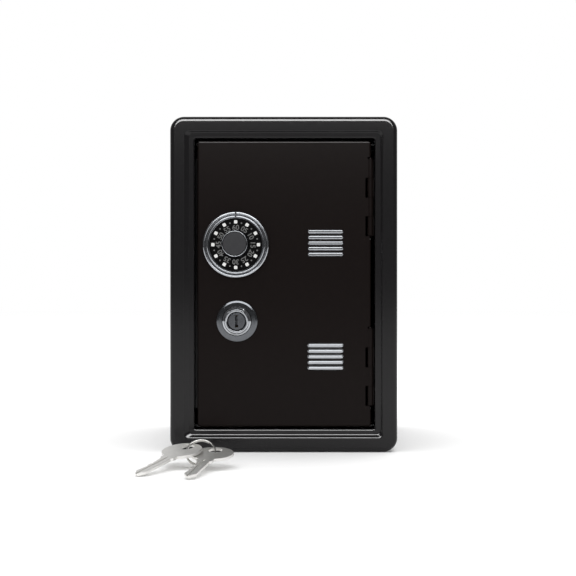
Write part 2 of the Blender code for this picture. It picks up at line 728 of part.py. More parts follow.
def make_dial():
    """The fixed bezel and its push nut, and what turns with the knob."""
    place = at_door(DIAL_X, DIAL_Z)
    boss_bore = STEM_RADIUS + CLEARANCE
    boss_radius = boss_bore + BOSS_WALL
    floor_top = CLEARANCE + BEZEL_FLOOR
    groove_outer = BEZEL_RADIUS - BEZEL_RING_WIDTH
    groove_inner = groove_outer - BEZEL_GROOVE
    seat_radius = groove_inner - BEZEL_INNER_RING_WIDTH
    ring_top = BEZEL_RING_HEIGHT
    ease = BEZEL_EASE
    bezel = turned_part(
        "dial_bezel",
        [
            (boss_bore, floor_top),
            (seat_radius, floor_top),
            (seat_radius, ring_top - ease),
            (seat_radius + ease, ring_top + ease / 2),
            (groove_inner - ease, ring_top + ease / 2),
            (groove_inner, ring_top - ease),
            (groove_inner, ring_top - 2 * ease),
            (groove_outer, ring_top - 2 * ease),
            (groove_outer, ring_top - ease),
            (groove_outer + ease, ring_top),
            (BEZEL_RADIUS - 2 * ease, ring_top - ease / 2),
            (BEZEL_RADIUS - ease / 2, ring_top - 2 * ease),
            (BEZEL_RADIUS, ring_top - 4 * ease),
            (BEZEL_RADIUS, CLEARANCE),
            (boss_radius, CLEARANCE),
            (boss_radius, -BOSS_LENGTH),
            (boss_bore, -BOSS_LENGTH),
        ],
        CHROME,
        place,
        steps=LARGE_ROUND_STEPS,
        bored=True,
    )
    notch = box_mesh(
        "index_cutter",
        (-INDEX_WIDTH / 2, seat_radius - CUT_MARGIN, ring_top - INDEX_DEPTH),
        (INDEX_WIDTH / 2, BEZEL_RADIUS + CUT_MARGIN, ring_top + CUT_MARGIN),
    )
    cut(bezel, add_helper("index_cutter", notch, place))

    teeth = []
    for step in range(4 * PUSH_NUT_TEETH):
        angle = math.tau * (step + 0.5) / (4 * PUSH_NUT_TEETH)
        radius = boss_radius + CLEARANCE + (PUSH_NUT_TOOTH if step % 4 >= 2 else 0.0)
        teeth.append((radius * math.cos(angle), radius * math.sin(angle)))
    nut = flat_mesh("dial_push_nut", [circle_outline(PUSH_NUT_RADIUS), teeth], WASHER_THICKNESS)
    nut_z = -SHEET - CLEARANCE - WASHER_THICKNESS / 2
    add_part("dial_push_nut", nut, ZINC_STEEL, place @ Matrix.Translation((0.0, 0.0, nut_z)))

    disc_bottom = floor_top + CLEARANCE
    disc_top = disc_bottom + DISC_THICKNESS
    disc_radius = seat_radius - CLEARANCE
    rim_top = disc_top + DISC_RIM_HEIGHT
    turned_part(
        "dial_disc",
        [
            (boss_bore, disc_top),
            (disc_radius - DISC_RIM_WIDTH, disc_top),
            (disc_radius - DISC_RIM_WIDTH * (1 - DISC_RIM_SLOPE), rim_top),
            (disc_radius - DISC_RIM_WIDTH * DISC_RIM_SLOPE, rim_top),
            (disc_radius, disc_top),
            (disc_radius, disc_bottom),
            (boss_bore, disc_bottom),
        ],
        BLACK_PLASTIC,
        place,
        steps=LARGE_ROUND_STEPS,
        bored=True,
    )

    knob_bottom = disc_top + CLEARANCE
    knob_top = knob_bottom + KNOB_HEIGHT
    recess_radius = KNOB_CAP_RADIUS + CLEARANCE
    recess_floor = knob_top - KNOB_CAP_THICKNESS - CLEARANCE - KNOB_CAP_SINK
    stem_end = -BOSS_LENGTH - CLEARANCE
    screw_bore = DIAL_SCREW_RADIUS + CLEARANCE
    screw_bore_end = knob_bottom
    knob = turned_part(
        "dial_knob",
        [
            (0.0, recess_floor),
            (recess_radius, recess_floor),
            (recess_radius, knob_top - KNOB_CAP_SINK),
            (KNOB_RADIUS - KNOB_TOP_EASE, knob_top),
            (KNOB_RADIUS, knob_top - KNOB_SHOULDER),
            (KNOB_RADIUS, knob_bottom + KNOB_FOOT_HEIGHT),
            (KNOB_RADIUS - KNOB_FOOT_EASE, knob_bottom),
            (STEM_RADIUS, knob_bottom),
            (STEM_RADIUS, stem_end),
            (0.0, stem_end),
        ],
        CHROME,
        place,
    )
    bore = cylinder_mesh(
        "knob_bore_cutter",
        screw_bore,
        (0.0, 0.0, screw_bore_end),
        (0.0, 0.0, stem_end - CUT_MARGIN),
        SMALL_ROUND_STEPS,
    )
    cut(knob, add_helper("knob_bore_cutter", bore, place))
    cap_bottom = recess_floor + CLEARANCE
    turned_part(
        "dial_knob_cap",
        [
            (0.0, cap_bottom + KNOB_CAP_THICKNESS),
            (KNOB_CAP_RADIUS - KNOB_CAP_EASE, cap_bottom + KNOB_CAP_THICKNESS),
            (KNOB_CAP_RADIUS, cap_bottom + KNOB_CAP_THICKNESS - KNOB_CAP_EASE),
            (KNOB_CAP_RADIUS, cap_bottom),
            (0.0, cap_bottom),
        ],
        CAP_GREY,
        place,
    )

    washer_top = stem_end - CLEARANCE
    washer_bottom = washer_top - WASHER_THICKNESS
    washer_outlines = [circle_outline(DIAL_WASHER_RADIUS), circle_outline(screw_bore, 16)]
    washer = flat_mesh("dial_washer", washer_outlines, WASHER_THICKNESS)
    washer_place = place @ Matrix.Translation((0.0, 0.0, (washer_top + washer_bottom) / 2))
    add_part("dial_washer", washer, ZINC_STEEL, washer_place)
    head_top = washer_bottom - CLEARANCE
    make_screw(
        "dial_screw",
        place,
        head_top,
        screw_bore_end - CLEARANCE,
        DIAL_SCREW_RADIUS,
        DIAL_SCREW_HEAD_RADIUS,
        DIAL_SCREW_HEAD_HEIGHT,
    )


def make_screw(name, place, head_top, shank_end, shank_radius, head_radius, head_height):
    """A slotted screw driven from behind: its shank points to the viewer."""
    head_bottom = head_top - head_height
    screw = turned_part(
        name,
        [
            (0.0, shank_end),
            (shank_radius * SCREW_POINT_SHARE, shank_end),
            (shank_radius, shank_end - shank_radius * SCREW_POINT_SHARE),
            (shank_radius, head_top),
            (head_radius, head_top),
            (head_radius, head_bottom + head_height * (1 - SCREW_SIDE_SHARE)),
            (head_radius * SCREW_CROWN_SHARE, head_bottom),
            (0.0, head_bottom),
        ],
        ZINC_STEEL,
        place,
        SMALL_ROUND_STEPS,
    )
    slot_half = head_radius * SCREW_SLOT_WIDTH_SHARE / 2
    slot = box_mesh(
        f"{name}_slot_cutter",
        (-head_radius - CUT_MARGIN, -slot_half, head_bottom - CUT_MARGIN),
        (head_radius + CUT_MARGIN, slot_half, head_bottom + head_height * SCREW_SLOT_DEPTH_SHARE),
    )
    cut(screw, add_helper(f"{name}_slot_cutter", slot, place))


# ---------------------------------------------------------------- lock


def keyway_outline():
    """The keyway seen from the front, with a ward that stands into it on each side."""
    half_width = KEY_THICKNESS / 2 + CLEARANCE / 2
    half_height = KEY_BLADE_WIDTH / 2 + CLEARANCE / 2
    ward = KEY_GROOVE_DEPTH - CLEARANCE / 2
    ward_half = KEY_GROOVE_WIDTH / 2 - CLEARANCE / 2
    right = [
        (half_width, -half_height),
        (half_width, -ward_half),
        (half_width - ward, -ward_half),
        (half_width - ward, ward_half),
        (half_width, ward_half),
        (half_width, half_height),
    ]
    return right + [(-x, -y) for x, y in right]


def make_lock():
    place = at_door(LOCK_X, LOCK_Z)
    barrel_end = DOOR_Y - CAM_Y + CLEARANCE
    head_bottom = ESCUTCHEON_HEIGHT + 2 * CLEARANCE
    head_top = head_bottom + LOCK_HEAD_HEIGHT
    bore = PLUG_RADIUS + CLEARANCE
    turned_part(
        "lock_escutcheon",
        [
            (BARREL_RADIUS + CLEARANCE, ESCUTCHEON_HEIGHT + CLEARANCE),
            (ESCUTCHEON_RADIUS - ESCUTCHEON_EDGES[1], ESCUTCHEON_HEIGHT + CLEARANCE),
            (ESCUTCHEON_RADIUS - ESCUTCHEON_EDGES[0], ESCUTCHEON_HEIGHT),
            (ESCUTCHEON_RADIUS, ESCUTCHEON_HEIGHT / 2 + CLEARANCE),
            (ESCUTCHEON_RADIUS, CLEARANCE),
            (BARREL_RADIUS + CLEARANCE, CLEARANCE),
        ],
        CHROME,
        place,
        bored=True,
    )
    turned_part(
        "lock_housing",
        [
            (bore, head_top - CLEARANCE),
            (bore + CLEARANCE, head_top),
            (LOCK_RIM_RADIUS - HEAD_EASE, head_top),
            (LOCK_RIM_RADIUS, head_top - HEAD_EASE),
            (LOCK_RIM_RADIUS, head_top - HEAD_STEPS[0]),
            (LOCK_HEAD_RADIUS - HEAD_EASE, head_top - HEAD_STEPS[1]),
            (LOCK_HEAD_RADIUS, head_top - HEAD_STEPS[2]),
            (LOCK_HEAD_RADIUS, head_bottom),
            (BARREL_RADIUS, head_bottom),
            (BARREL_RADIUS, barrel_end),
            (bore, barrel_end),
        ],
        CHROME,
        place,
        bored=True,
    )
    nut_z = -SHEET - CLEARANCE - LOCK_NUT_THICKNESS / 2
    hexagon = circle_outline((BARREL_RADIUS + LOCK_NUT_WALL) * 2 / math.sqrt(3), 6)
    nut_outlines = [hexagon, circle_outline(BARREL_RADIUS + CLEARANCE)]
    nut = flat_mesh("lock_nut", nut_outlines, LOCK_NUT_THICKNESS)
    add_part("lock_nut", nut, ZINC_STEEL, place @ Matrix.Translation((0.0, 0.0, nut_z)))
    make_plug(place, head_top, barrel_end)
    make_cam(place)


def make_plug(place, head_top, barrel_end):
    """The plug, cut for its key and its wafers, with a square tail that carries the cam."""
    face = head_top - PLUG_SINK
    tail_end = DOOR_Y - CAM_Y - CAM_THICKNESS
    screw_bore = CAM_SCREW_RADIUS + CLEARANCE
    plug = turned_part(
        "lock_plug",
        [
            (0.0, face),
            (PLUG_RADIUS - PLUG_EASE, face),
            (PLUG_RADIUS, face - PLUG_EASE),
            (PLUG_RADIUS, barrel_end),
            (0.0, barrel_end),
        ],
        BRASS,
        place,
    )
    tail = box_mesh(
        "plug_tail",
        (-TAIL_WIDTH / 2, -TAIL_WIDTH / 2, tail_end),
        (TAIL_WIDTH / 2, TAIL_WIDTH / 2, barrel_end + SHEET),
    )
    join(plug, add_helper("plug_tail", tail, place))
    last_wafer = face - FIRST_WAFER_DEPTH - (WAFERS - 1) * WAFER_PITCH
    keyway_end = last_wafer - WAFER_THICKNESS / 2 - CLEARANCE
    keyway_length = face + CUT_MARGIN - keyway_end
    keyway = flat_mesh("keyway_cutter", [keyway_outline()], keyway_length)
    keyway_place = place @ Matrix.Translation((0.0, 0.0, keyway_end + keyway_length / 2))
    cut(plug, add_helper("keyway_cutter", keyway, keyway_place))
    bore = cylinder_mesh(
        "plug_bore_cutter",
        screw_bore,
        (0.0, 0.0, tail_end - CUT_MARGIN),
        (0.0, 0.0, keyway_end - 2 * CLEARANCE),
        16,
    )
    cut(plug, add_helper("plug_bore_cutter", bore, place))

    half_slot = WAFER_THICKNESS / 2 + CLEARANCE
    window_width = KEY_THICKNESS + 2 * CLEARANCE
    window_height = KEY_BLADE_WIDTH - 2 * CLEARANCE
    for index in range(WAFERS):
        z = face - FIRST_WAFER_DEPTH - index * WAFER_PITCH
        slot = box_mesh(
            f"wafer_slot_cutter_{index + 1}",
            (-WAFER_WIDTH / 2 - CLEARANCE, -PLUG_RADIUS - CUT_MARGIN, z - half_slot),
            (WAFER_WIDTH / 2 + CLEARANCE, PLUG_RADIUS + CUT_MARGIN, z + half_slot),
        )
        cut(plug, add_helper(slot.name, slot, place))
        outlines = [
            rectangle_outline(WAFER_WIDTH, 2 * PLUG_RADIUS - WAFER_TRIM),
            rectangle_outline(window_width, window_height),
        ]
        name = f"lock_wafer_{index + 1}"
        wafer = flat_mesh(name, outlines, WAFER_THICKNESS)
        add_part(name, wafer, BRASS, place @ Matrix.Translation((0.0, 0.0, z)))


def rectangle_outline(width, height):
    x, y = width / 2, height / 2
    return [(-x, -y), (x, -y), (x, y), (-x, y)]


def make_cam(place):
    """The cam on the plug's tail, pointing down, and the washer and screw that hold it."""
    arm = CAM_REACH - CAM_TIP_RADIUS
    lean = math.asin((CAM_HUB_RADIUS - CAM_TIP_RADIUS) / arm)
    outline = []
    for step in range(HUB_STEPS + 1):
        angle = -lean + (math.pi + 2 * lean) * step / HUB_STEPS
        outline.append((CAM_HUB_RADIUS * math.cos(angle), CAM_HUB_RADIUS * math.sin(angle)))
    for step in range(TIP_STEPS + 1):
        angle = math.pi + lean + (math.pi - 2 * lean) * step / TIP_STEPS
        outline.append((CAM_TIP_RADIUS * math.cos(angle), CAM_TIP_RADIUS * math.sin(angle) - arm))
    square = rectangle_outline(TAIL_WIDTH + 2 * CLEARANCE, TAIL_WIDTH + 2 * CLEARANCE)
    front = DOOR_Y - CAM_Y
    back = front - CAM_THICKNESS
    cam = flat_mesh("lock_cam", [outline, square], CAM_THICKNESS)
    add_part("lock_cam", cam, ZINC_STEEL, place @ Matrix.Translation((0.0, 0.0, (front + back) / 2)))
    washer_top = back - CLEARANCE
    washer_z = washer_top - WASHER_THICKNESS / 2
    washer_outlines = [
        circle_outline(CAM_WASHER_RADIUS, SMALL_ROUND_STEPS),
        circle_outline(CAM_SCREW_RADIUS + CLEARANCE, HUB_STEPS),
    ]
    washer = flat_mesh("cam_washer", washer_outlines, WASHER_THICKNESS)
    add_part("cam_washer", washer, ZINC_STEEL, place @ Matrix.Translation((0.0, 0.0, washer_z)))
    make_screw(
        "cam_screw",
        place,
        washer_top - WASHER_THICKNESS - CLEARANCE,
        front + CLEARANCE,
        CAM_SCREW_RADIUS,
        CAM_SCREW_HEAD_RADIUS,
        CAM_SCREW_HEAD_HEIGHT,
    )


# ---------------------------------------------------------------- keys


def key_outline():
    """A key drawn flat, with its hole at the origin and its blade along +X."""
    bow_centre = KEY_BOW_LENGTH / 2 - KEY_HOLE_INSET
    tip = KEY_LENGTH - KEY_HOLE_INSET
    half = KEY_BLADE_WIDTH / 2
    collar = half + KEY_COLLAR_EXTRA
    meet = math.asin(collar / (KEY_BOW_WIDTH / 2))
    outline = []
    for step in range(ROUND_STEPS + 1):
        angle = meet + (math.tau - 2 * meet) * step / ROUND_STEPS
        x = bow_centre + KEY_BOW_LENGTH / 2 * math.cos(angle)
        outline.append((x, KEY_BOW_WIDTH / 2 * math.sin(angle)))
    collar_end = bow_centre + KEY_BOW_LENGTH / 2 + KEY_COLLAR_LENGTH
    outline += [(collar_end - KEY_COLLAR_EXTRA, -collar), (collar_end, -half)]
    first_cut = collar_end + FIRST_WAFER_DEPTH
    for index, depth in enumerate(KEY_CUTS):
        x = first_cut + index * WAFER_PITCH
        for offset in (-WAFER_PITCH / 6, WAFER_PITCH / 6):
            outline.append((x + offset, -half + depth))
        if index < len(KEY_CUTS) - 1:
            outline.append((x + WAFER_PITCH / 2, -half + min(depth, KEY_CUTS[index + 1]) / 2))
    outline += [
        (tip - half, -half + KEY_TIP_EASE),
        (tip, -half / 4),
        (tip, half / 4),
        (tip - half, half),
    ]
    outline += [(collar_end, half), (collar_end - KEY_COLLAR_EXTRA, collar)]
    return outline


def ring_point(turn, across):
    """A point on the split ring, at an angle from its right side and at a distance off its middle plane."""
    sideways = Vector((1.0, 0.0, 0.0))
    upward = Vector((0.0, math.cos(RING_LEAN), math.sin(RING_LEAN)))
    through = sideways.cross(upward)
    point = Vector(RING_CENTRE) + across * through
    return point + RING_RADIUS * (math.cos(turn) * sideways + math.sin(turn) * upward)


def wire_across(wound):
    """How far off the ring's middle plane the wire is, once it has wound through an angle."""
    return (wound / math.tau - RING_TURNS / 2) * RING_TURN_PITCH


def middle_of_wires(turn):
    """The middle of the wires that pass one place on the ring."""
    first = (turn - RING_START) % math.tau
    laps = (first, first + math.tau)
    windings = [wound for wound in laps if wound <= math.tau * RING_TURNS]
    return ring_point(turn, sum(wire_across(wound) for wound in windings) / len(windings))


def make_keys():
    for name, (turn, heading, slope) in KEY_PLACES.items():
        mesh = flat_mesh(name, [key_outline(), circle_outline(KEY_HOLE_RADIUS, 20)], KEY_THICKNESS)
        place = (
            Matrix.Translation(middle_of_wires(turn))
            @ Matrix.Rotation(heading, 4, "Z")
            @ Matrix.Rotation(slope, 4, "Y")
        )
        key = add_part(name, mesh, KEY_NICKEL, place)
        start = KEY_BOW_LENGTH - KEY_HOLE_INSET + KEY_COLLAR_LENGTH / 3
        for face in (-1, 1):
            cutter_name = f"{name}_groove_cutter_{'under' if face < 0 else 'upper'}"
            depths = sorted((face * (KEY_THICKNESS / 2 - KEY_GROOVE_DEPTH), face * KEY_THICKNESS))
            groove = box_mesh(
                cutter_name,
                (start, -KEY_GROOVE_WIDTH / 2, depths[0]),
                (KEY_LENGTH, KEY_GROOVE_WIDTH / 2, depths[1]),
            )
            cut(key, add_helper(cutter_name, groove, place))


def make_key_ring():
    """A split ring: two turns of wire side by side, each end lying against the other turn."""
    steps_per_turn = 24
    count = round(steps_per_turn * RING_TURNS)
    curve = bpy.data.curves.new("key_ring", "CURVE")
    curve.dimensions = "3D"
    curve.bevel_depth = RING_WIRE_RADIUS
    curve.bevel_resolution = 1
    curve.use_fill_caps = True
    spline = curve.splines.new("POLY")
    spline.points.add(count)
    for step, point in enumerate(spline.points):
        wound = math.tau * RING_TURNS * step / count
        point.co = (*ring_point(RING_START + wound, wire_across(wound)), 1.0)
    ring = bpy.data.objects.new("key_ring", curve)
    PARTS.objects.link(ring)
    curve.materials.append(ZINC_STEEL)


def main():
    make_body_shell()
    make_back_panel()
    make_front_frame()
    make_latch_strip()
    make_door_panel()
    for side, top in HINGE_TOPS.items():
        make_hinge(side, top)
    for side, height in VENT_HEIGHTS.items():
        make_vent(side, height)
    make_dial()
    make_lock()
    make_key_ring()
    make_keys()


main()
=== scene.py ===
"""The visible pieces of a toy safe coin bank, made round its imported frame.

A wrapped steel cabinet in black stoved enamel, a hinged door with bright vents, a numbered dial,
a wafer cam lock and two nickel keys on a split ring. Metres, +Z up, -Y towards the front.
"""

import json
import logging
import math
from dataclasses import dataclass
from enum import Enum
from typing import Iterable, Sequence

import bmesh
import bpy
from mathutils import Matrix, Vector


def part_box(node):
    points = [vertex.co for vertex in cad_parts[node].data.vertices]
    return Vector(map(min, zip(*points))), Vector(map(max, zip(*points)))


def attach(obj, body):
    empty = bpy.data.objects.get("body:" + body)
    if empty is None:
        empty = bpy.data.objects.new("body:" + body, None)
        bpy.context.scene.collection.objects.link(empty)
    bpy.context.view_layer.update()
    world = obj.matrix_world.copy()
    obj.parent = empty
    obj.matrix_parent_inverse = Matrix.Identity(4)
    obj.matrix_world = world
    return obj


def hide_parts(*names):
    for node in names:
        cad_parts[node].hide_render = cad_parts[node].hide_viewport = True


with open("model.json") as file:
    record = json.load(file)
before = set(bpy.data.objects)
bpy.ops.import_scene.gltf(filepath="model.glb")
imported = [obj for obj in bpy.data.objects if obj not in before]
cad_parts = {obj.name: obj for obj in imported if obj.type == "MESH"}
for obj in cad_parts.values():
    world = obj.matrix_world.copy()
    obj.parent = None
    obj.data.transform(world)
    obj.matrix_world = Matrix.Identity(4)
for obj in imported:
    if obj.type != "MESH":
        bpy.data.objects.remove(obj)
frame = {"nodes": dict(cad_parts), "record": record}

LOG = logging.getLogger("coin_bank")
WELD = 1e-7  # corners closer than this are one corner
CAD_WELD = 2e-6  # the same in a copied CAD mesh
FLAT_FACE_PULL = 90  # how strongly a flat face sets the shading at its corners
MM = 0.001
QUARTER = 90.0  # degrees
CREASE = 32.0  # degrees past which an edge is shaded sharp
FINE_CREASE = 28.0  # the same on a piece with shallow folds
WAVE_NOISE = {"Detail": 2.0, "Roughness": 0.45}  # broad and smooth
GRAIN_NOISE = {"Detail": 3.0, "Roughness": 0.6}  # fine and broken
GRAIN_SPREAD, GRAIN_BASE = 0.45, 0.3  # bring the grain towards the middle of its range
GLOSSIEST, DULLEST = 0.35, 0.75  # the grain's values at the finish's smoothest and dullest

Outline = list[tuple[float, float]]
Ring = list[tuple[float, float, float]]
Sides = tuple[float, float, float, float]


class Fusing(Enum):
    """How a helper solid acts on the piece it meets."""

    CUT = "DIFFERENCE"
    JOIN = "UNION"


class Body(Enum):
    """The moving bodies of the frame."""

    CABINET = "cabinet"
    DOOR = "door"
    DIAL = "dial"
    LOCK = "lock_cylinder"
    RING = "key_ring"
    KEY_1 = "key_1"
    KEY_2 = "key_2"


class Slot(Enum):
    """The record's material slots."""

    ENAMEL = "black_enamel"
    CHROME = "chrome"
    PLASTIC = "black_plastic"
    CAP = "cap_grey"
    ZINC = "zinc_steel"
    BRASS = "brass"
    NICKEL = "key_nickel"


# ---------------------------------------------------------------- finishes


def linear(code: str) -> tuple[float, float, float, float]:
    """Turns an sRGB hex code into a linear colour.

    Args:
        code: Six hex digits after a hash.

    Returns:
        Red, green, blue and full opacity.
    """
    channels = [int(code[k : k + 2], 16) / 255 for k in (1, 3, 5)]
    curve = [c / 12.92 if c <= 0.04045 else ((c + 0.055) / 1.055) ** 2.4 for c in channels]
    return (curve[0], curve[1], curve[2], 1.0)


def add_node(
    tree: bpy.types.NodeTree,
    kind: str,
    inputs: dict | None = None,
    links: dict | None = None,
    **settings: object,
) -> bpy.types.Node:
    """Adds one node to a tree.

    Args:
        tree: The tree it goes into.
        kind: The node's type name.
        inputs: Values of its inputs, by name or place.
        links: Sockets that feed its inputs, by name or place.
        **settings: The node's own properties.

    Returns:
        The new node.
    """
    node = tree.nodes.new(kind)
    for name, value in settings.items():
        setattr(node, name, value)
    for key, value in (inputs or {}).items():
        node.inputs[key].default_value = value
    for key, socket in (links or {}).items():
        tree.links.new(socket, node.inputs[key])
    return node


def empty_material(name: str) -> tuple[bpy.types.Material, bpy.types.NodeTree]:
    """Makes a material whose tree holds nothing yet.

    Args:
        name: The material's name.

    Returns:
        The material and its tree.
    """
    material = bpy.data.materials.new(name)
    material.use_nodes = True
    material.node_tree.nodes.clear()
    return material, material.node_tree


def waves_per_metre(size: float) -> float:
    """The scale of a noise whose features are a size apart, in metres."""
    return 1.0 / size


@dataclass(frozen=True)
class Finish:
    """A surface: its colour and shine, a soft unevenness and a fine grain.

    The unevenness changes the colour and the height over a few millimetres, and the grain
    changes the shine and the height over tenths of a millimetre.
    """

    name: str
    colour: str
    second_colour: str
    metallic: float = 0.0
    gloss: float = 0.3  # the shader's roughness where the surface is smoothest
    dull: float = 0.4  # and where it is dullest
    specular: float = 0.5
    wave_size: float = 2.0 * MM
    wave_height: float = 0.01 * MM
    grain_size: float = 0.25 * MM
    grain_height: float = 0.001 * MM
    grain_stretch: tuple[float, float, float] = (1.0, 1.0, 1.0)

    def material(self) -> bpy.types.Material:
        """Builds the finish on Object coordinates.

        Returns:
            The material.
        """
        made, tree = empty_material(self.name)
        place = add_node(tree, "ShaderNodeTexCoord").outputs["Object"]
        wave = add_node(
            tree,
            "ShaderNodeTexNoise",
            inputs={"Scale": waves_per_metre(self.wave_size), **WAVE_NOISE},
            links={"Vector": place},
        )
        stretched = add_node(
            tree,
            "ShaderNodeMapping",
            inputs={"Scale": self.grain_stretch},
            links={"Vector": place},
        )
        grain = add_node(
            tree,
            "ShaderNodeTexNoise",
            inputs={"Scale": waves_per_metre(self.grain_size), **GRAIN_NOISE},
            links={"Vector": stretched.outputs["Vector"]},
        )
        blend = add_node(
            tree,
            "ShaderNodeMath",
            operation="MULTIPLY_ADD",
            inputs={1: GRAIN_SPREAD, 2: GRAIN_BASE},
            links={0: grain.outputs["Fac"]},
        )
        shade = add_node(
            tree,
            "ShaderNodeMix",
            data_type="RGBA",
            inputs={6: linear(self.colour), 7: linear(self.second_colour)},
            links={0: wave.outputs["Fac"]},
        )
        shine = add_node(
            tree,
            "ShaderNodeMapRange",
            inputs={
                "From Min": GLOSSIEST,
                "From Max": DULLEST,
                "To Min": self.gloss,
                "To Max": self.dull,
            },
            links={"Value": blend.outputs[0]},
        )
        swell = add_node(
            tree,
            "ShaderNodeBump",
            inputs={"Strength": 1.0, "Distance": self.wave_height},
            links={"Height": wave.outputs["Fac"]},
        )
        fine = add_node(
            tree,
            "ShaderNodeBump",
            inputs={"Strength": 1.0, "Distance": self.grain_height},
            links={"Height": grain.outputs["Fac"], "Normal": swell.outputs["Normal"]},
        )
        shader = add_node(
            tree,
            "ShaderNodeBsdfPrincipled",
            inputs={
                "Metallic": self.metallic,
                "Specular IOR Level": self.specular,
            },
            links={
                "Base Color": shade.outputs[2],
                "Roughness": shine.outputs["Result"],
                "Normal": fine.outputs["Normal"],
            },
        )
        add_node(
            tree,
            "ShaderNodeOutputMaterial",
            links={"Surface": shader.outputs["BSDF"]},
        )
        return made


# Stoved enamel, sprayed on steel and baked: a deep black gloss with the faint orange peel of the
# spray, so that a reflected edge is never quite straight.
# The door's copy of the enamel is darker and mirrors far less than the frame's below: painted shade, so
# that the door reads darker than the frame round it.
DOOR_SHADED_ENAMEL_COPY = Finish(
    "stoved_enamel_door",
    "#130e0d",
    "#161110",
    gloss=0.18,
    dull=0.24,
    specular=0.06,
    wave_size=2.2 * MM,
    wave_height=0.010 * MM,
    grain_size=0.5 * MM,
    grain_height=0.002 * MM,
)
FRAME_ENAMEL = Finish(
    "stoved_enamel_gloss",
    "#161516",
    "#191819",
    gloss=0.12,
    dull=0.17,
    specular=0.24,
    wave_size=2.4 * MM,
    wave_height=0.010 * MM,
    grain_size=0.6 * MM,
    grain_height=0.0015 * MM,
)
# Bright chrome plate on a zinc casting: a mirror with the slow ripple that polishing leaves.
CHROME = Finish(
    "chrome_plate",
    "#b4b6ba",
    "#a5a8ac",
    metallic=1.0,
    gloss=0.05,
    dull=0.10,
    wave_size=4.0 * MM,
    wave_height=0.004 * MM,
    grain_size=0.3 * MM,
    grain_height=0.0006 * MM,
)
# Chrome over a coarser casting, as on the lock's collar and plug: rougher and more rippled, with its
# colour darkened well below chrome's as painted shade, standing in for the dark room these parts mirror.
SHADE_DARKENED_CHROME = Finish(
    "chrome_on_casting",
    "#686a6d",
    "#5a5c60",
    metallic=1.0,
    gloss=0.12,
    dull=0.20,
    wave_size=2.4 * MM,
    wave_height=0.010 * MM,
    grain_size=0.25 * MM,
    grain_height=0.002 * MM,
)
# Black ABS, moulded against a lightly sparked tool: an even low sheen with a fine grain.
MOULDED_ABS = Finish(
    "moulded_black_abs",
    "#070708",
    "#0a0a0b",
    gloss=0.30,
    dull=0.38,
    specular=0.06,
    wave_size=4.0 * MM,
    wave_height=0.004 * MM,
    grain_size=0.3 * MM,
    grain_height=0.004 * MM,
)
# A grey foil disc with a spun grain, seen as a flat even grey.
SPUN_GREY = Finish(
    "spun_grey_cap",
    "#39393b",
    "#343436",
    gloss=0.42,
    dull=0.5,
    specular=0.12,
    wave_size=2.5 * MM,
    wave_height=0.004 * MM,
    grain_size=0.35 * MM,
    grain_height=0.003 * MM,
)
# Pad-printed ink: matt, with small thin places where the pad lifted.
WHITE_INK = Finish(
    "pad_printed_white",
    "#f0f0ee",
    "#dededc",
    gloss=0.5,
    dull=0.65,
    wave_size=0.9 * MM,
    wave_height=0.002 * MM,
    grain_size=0.12 * MM,
    grain_height=0.001 * MM,
)
GREY_INK = Finish(
    "pad_printed_grey",
    "#747473",
    "#626261",
    gloss=0.5,
    dull=0.65,
    wave_size=0.9 * MM,
    wave_height=0.002 * MM,
    grain_size=0.12 * MM,
    grain_height=0.001 * MM,
)
# Zinc plate on turned or pressed steel: a cool grey with a faint milky bloom.
ZINC = Finish(
    "zinc_plated_steel",
    "#b9bdc2",
    "#a3a6a8",
    metallic=1.0,
    gloss=0.26,
    dull=0.40,
    wave_size=2.0 * MM,
    wave_height=0.004 * MM,
    grain_size=0.2 * MM,
    grain_height=0.002 * MM,
)
# Spring wire, nickel plated: brighter than the keys.
SPRING_WIRE = Finish(
    "nickel_plated_spring_wire",
    "#d9d8d4",
    "#c9c8c4",
    metallic=1.0,
    gloss=0.10,
    dull=0.18,
    wave_size=1.2 * MM,
    wave_height=0.004 * MM,
    grain_size=0.15 * MM,
    grain_height=0.001 * MM,
)
# Nickel plate over blanked brass, tumbled: a satin, nearly white metal.
KEY_NICKEL = Finish(
    "tumbled_nickel_plate",
    "#f0efec",
    "#e6e5e2",
    metallic=1.0,
    gloss=0.42,
    dull=0.54,
    wave_size=2.5 * MM,
    wave_height=0.006 * MM,
    grain_size=0.16 * MM,
    grain_height=0.003 * MM,
)
# Rolled sheet brass, blanked: its yellow darkened as painted shade, standing in for the shade deep in the
# keyway where the wafers show.
KEYWAY_SHADED_BRASS = Finish(
    "rolled_sheet_brass",
    "#4a3a1c",
    "#3c2e15",
    metallic=1.0,
    gloss=0.40,
    dull=0.55,
    wave_size=1.5 * MM,
    wave_height=0.003 * MM,
    grain_size=0.3 * MM,
    grain_height=0.002 * MM,
    grain_stretch=(1.0, 1.0, 0.15),
)
# A painted studio floor: matt and pale.
PALE_FLOOR = Finish(
    "matt_white_floor",
    "#ffffff",
    "#fdfdfd",
    gloss=0.75,
    dull=0.9,
    specular=0.0,
    wave_size=60.0 * MM,
    wave_height=0.05 * MM,
    grain_size=4.0 * MM,
    grain_height=0.02 * MM,
)


# ---------------------------------------------------------------- shapes


def arc(centre: tuple[float, float], radius: float, start: float, end: float, steps: int) -> Outline:
    """Points along an arc.

    Args:
        centre: The arc's centre.
        radius: Its radius.
        start: The first angle in degrees.
        end: The last angle in degrees.
        steps: How many steps lead from the first to the last.

    Returns:
        The points, ends included.
    """
    angles = [math.radians(start + (end - start) * step / steps) for step in range(steps + 1)]
    return [(centre[0] + radius * math.cos(a), centre[1] + radius * math.sin(a)) for a in angles]


def circle(radius: float, steps: int) -> Outline:
    """Points round a circle about the origin, anticlockwise."""
    return arc((0.0, 0.0), radius, 0.0, 360.0, steps)[:-1]


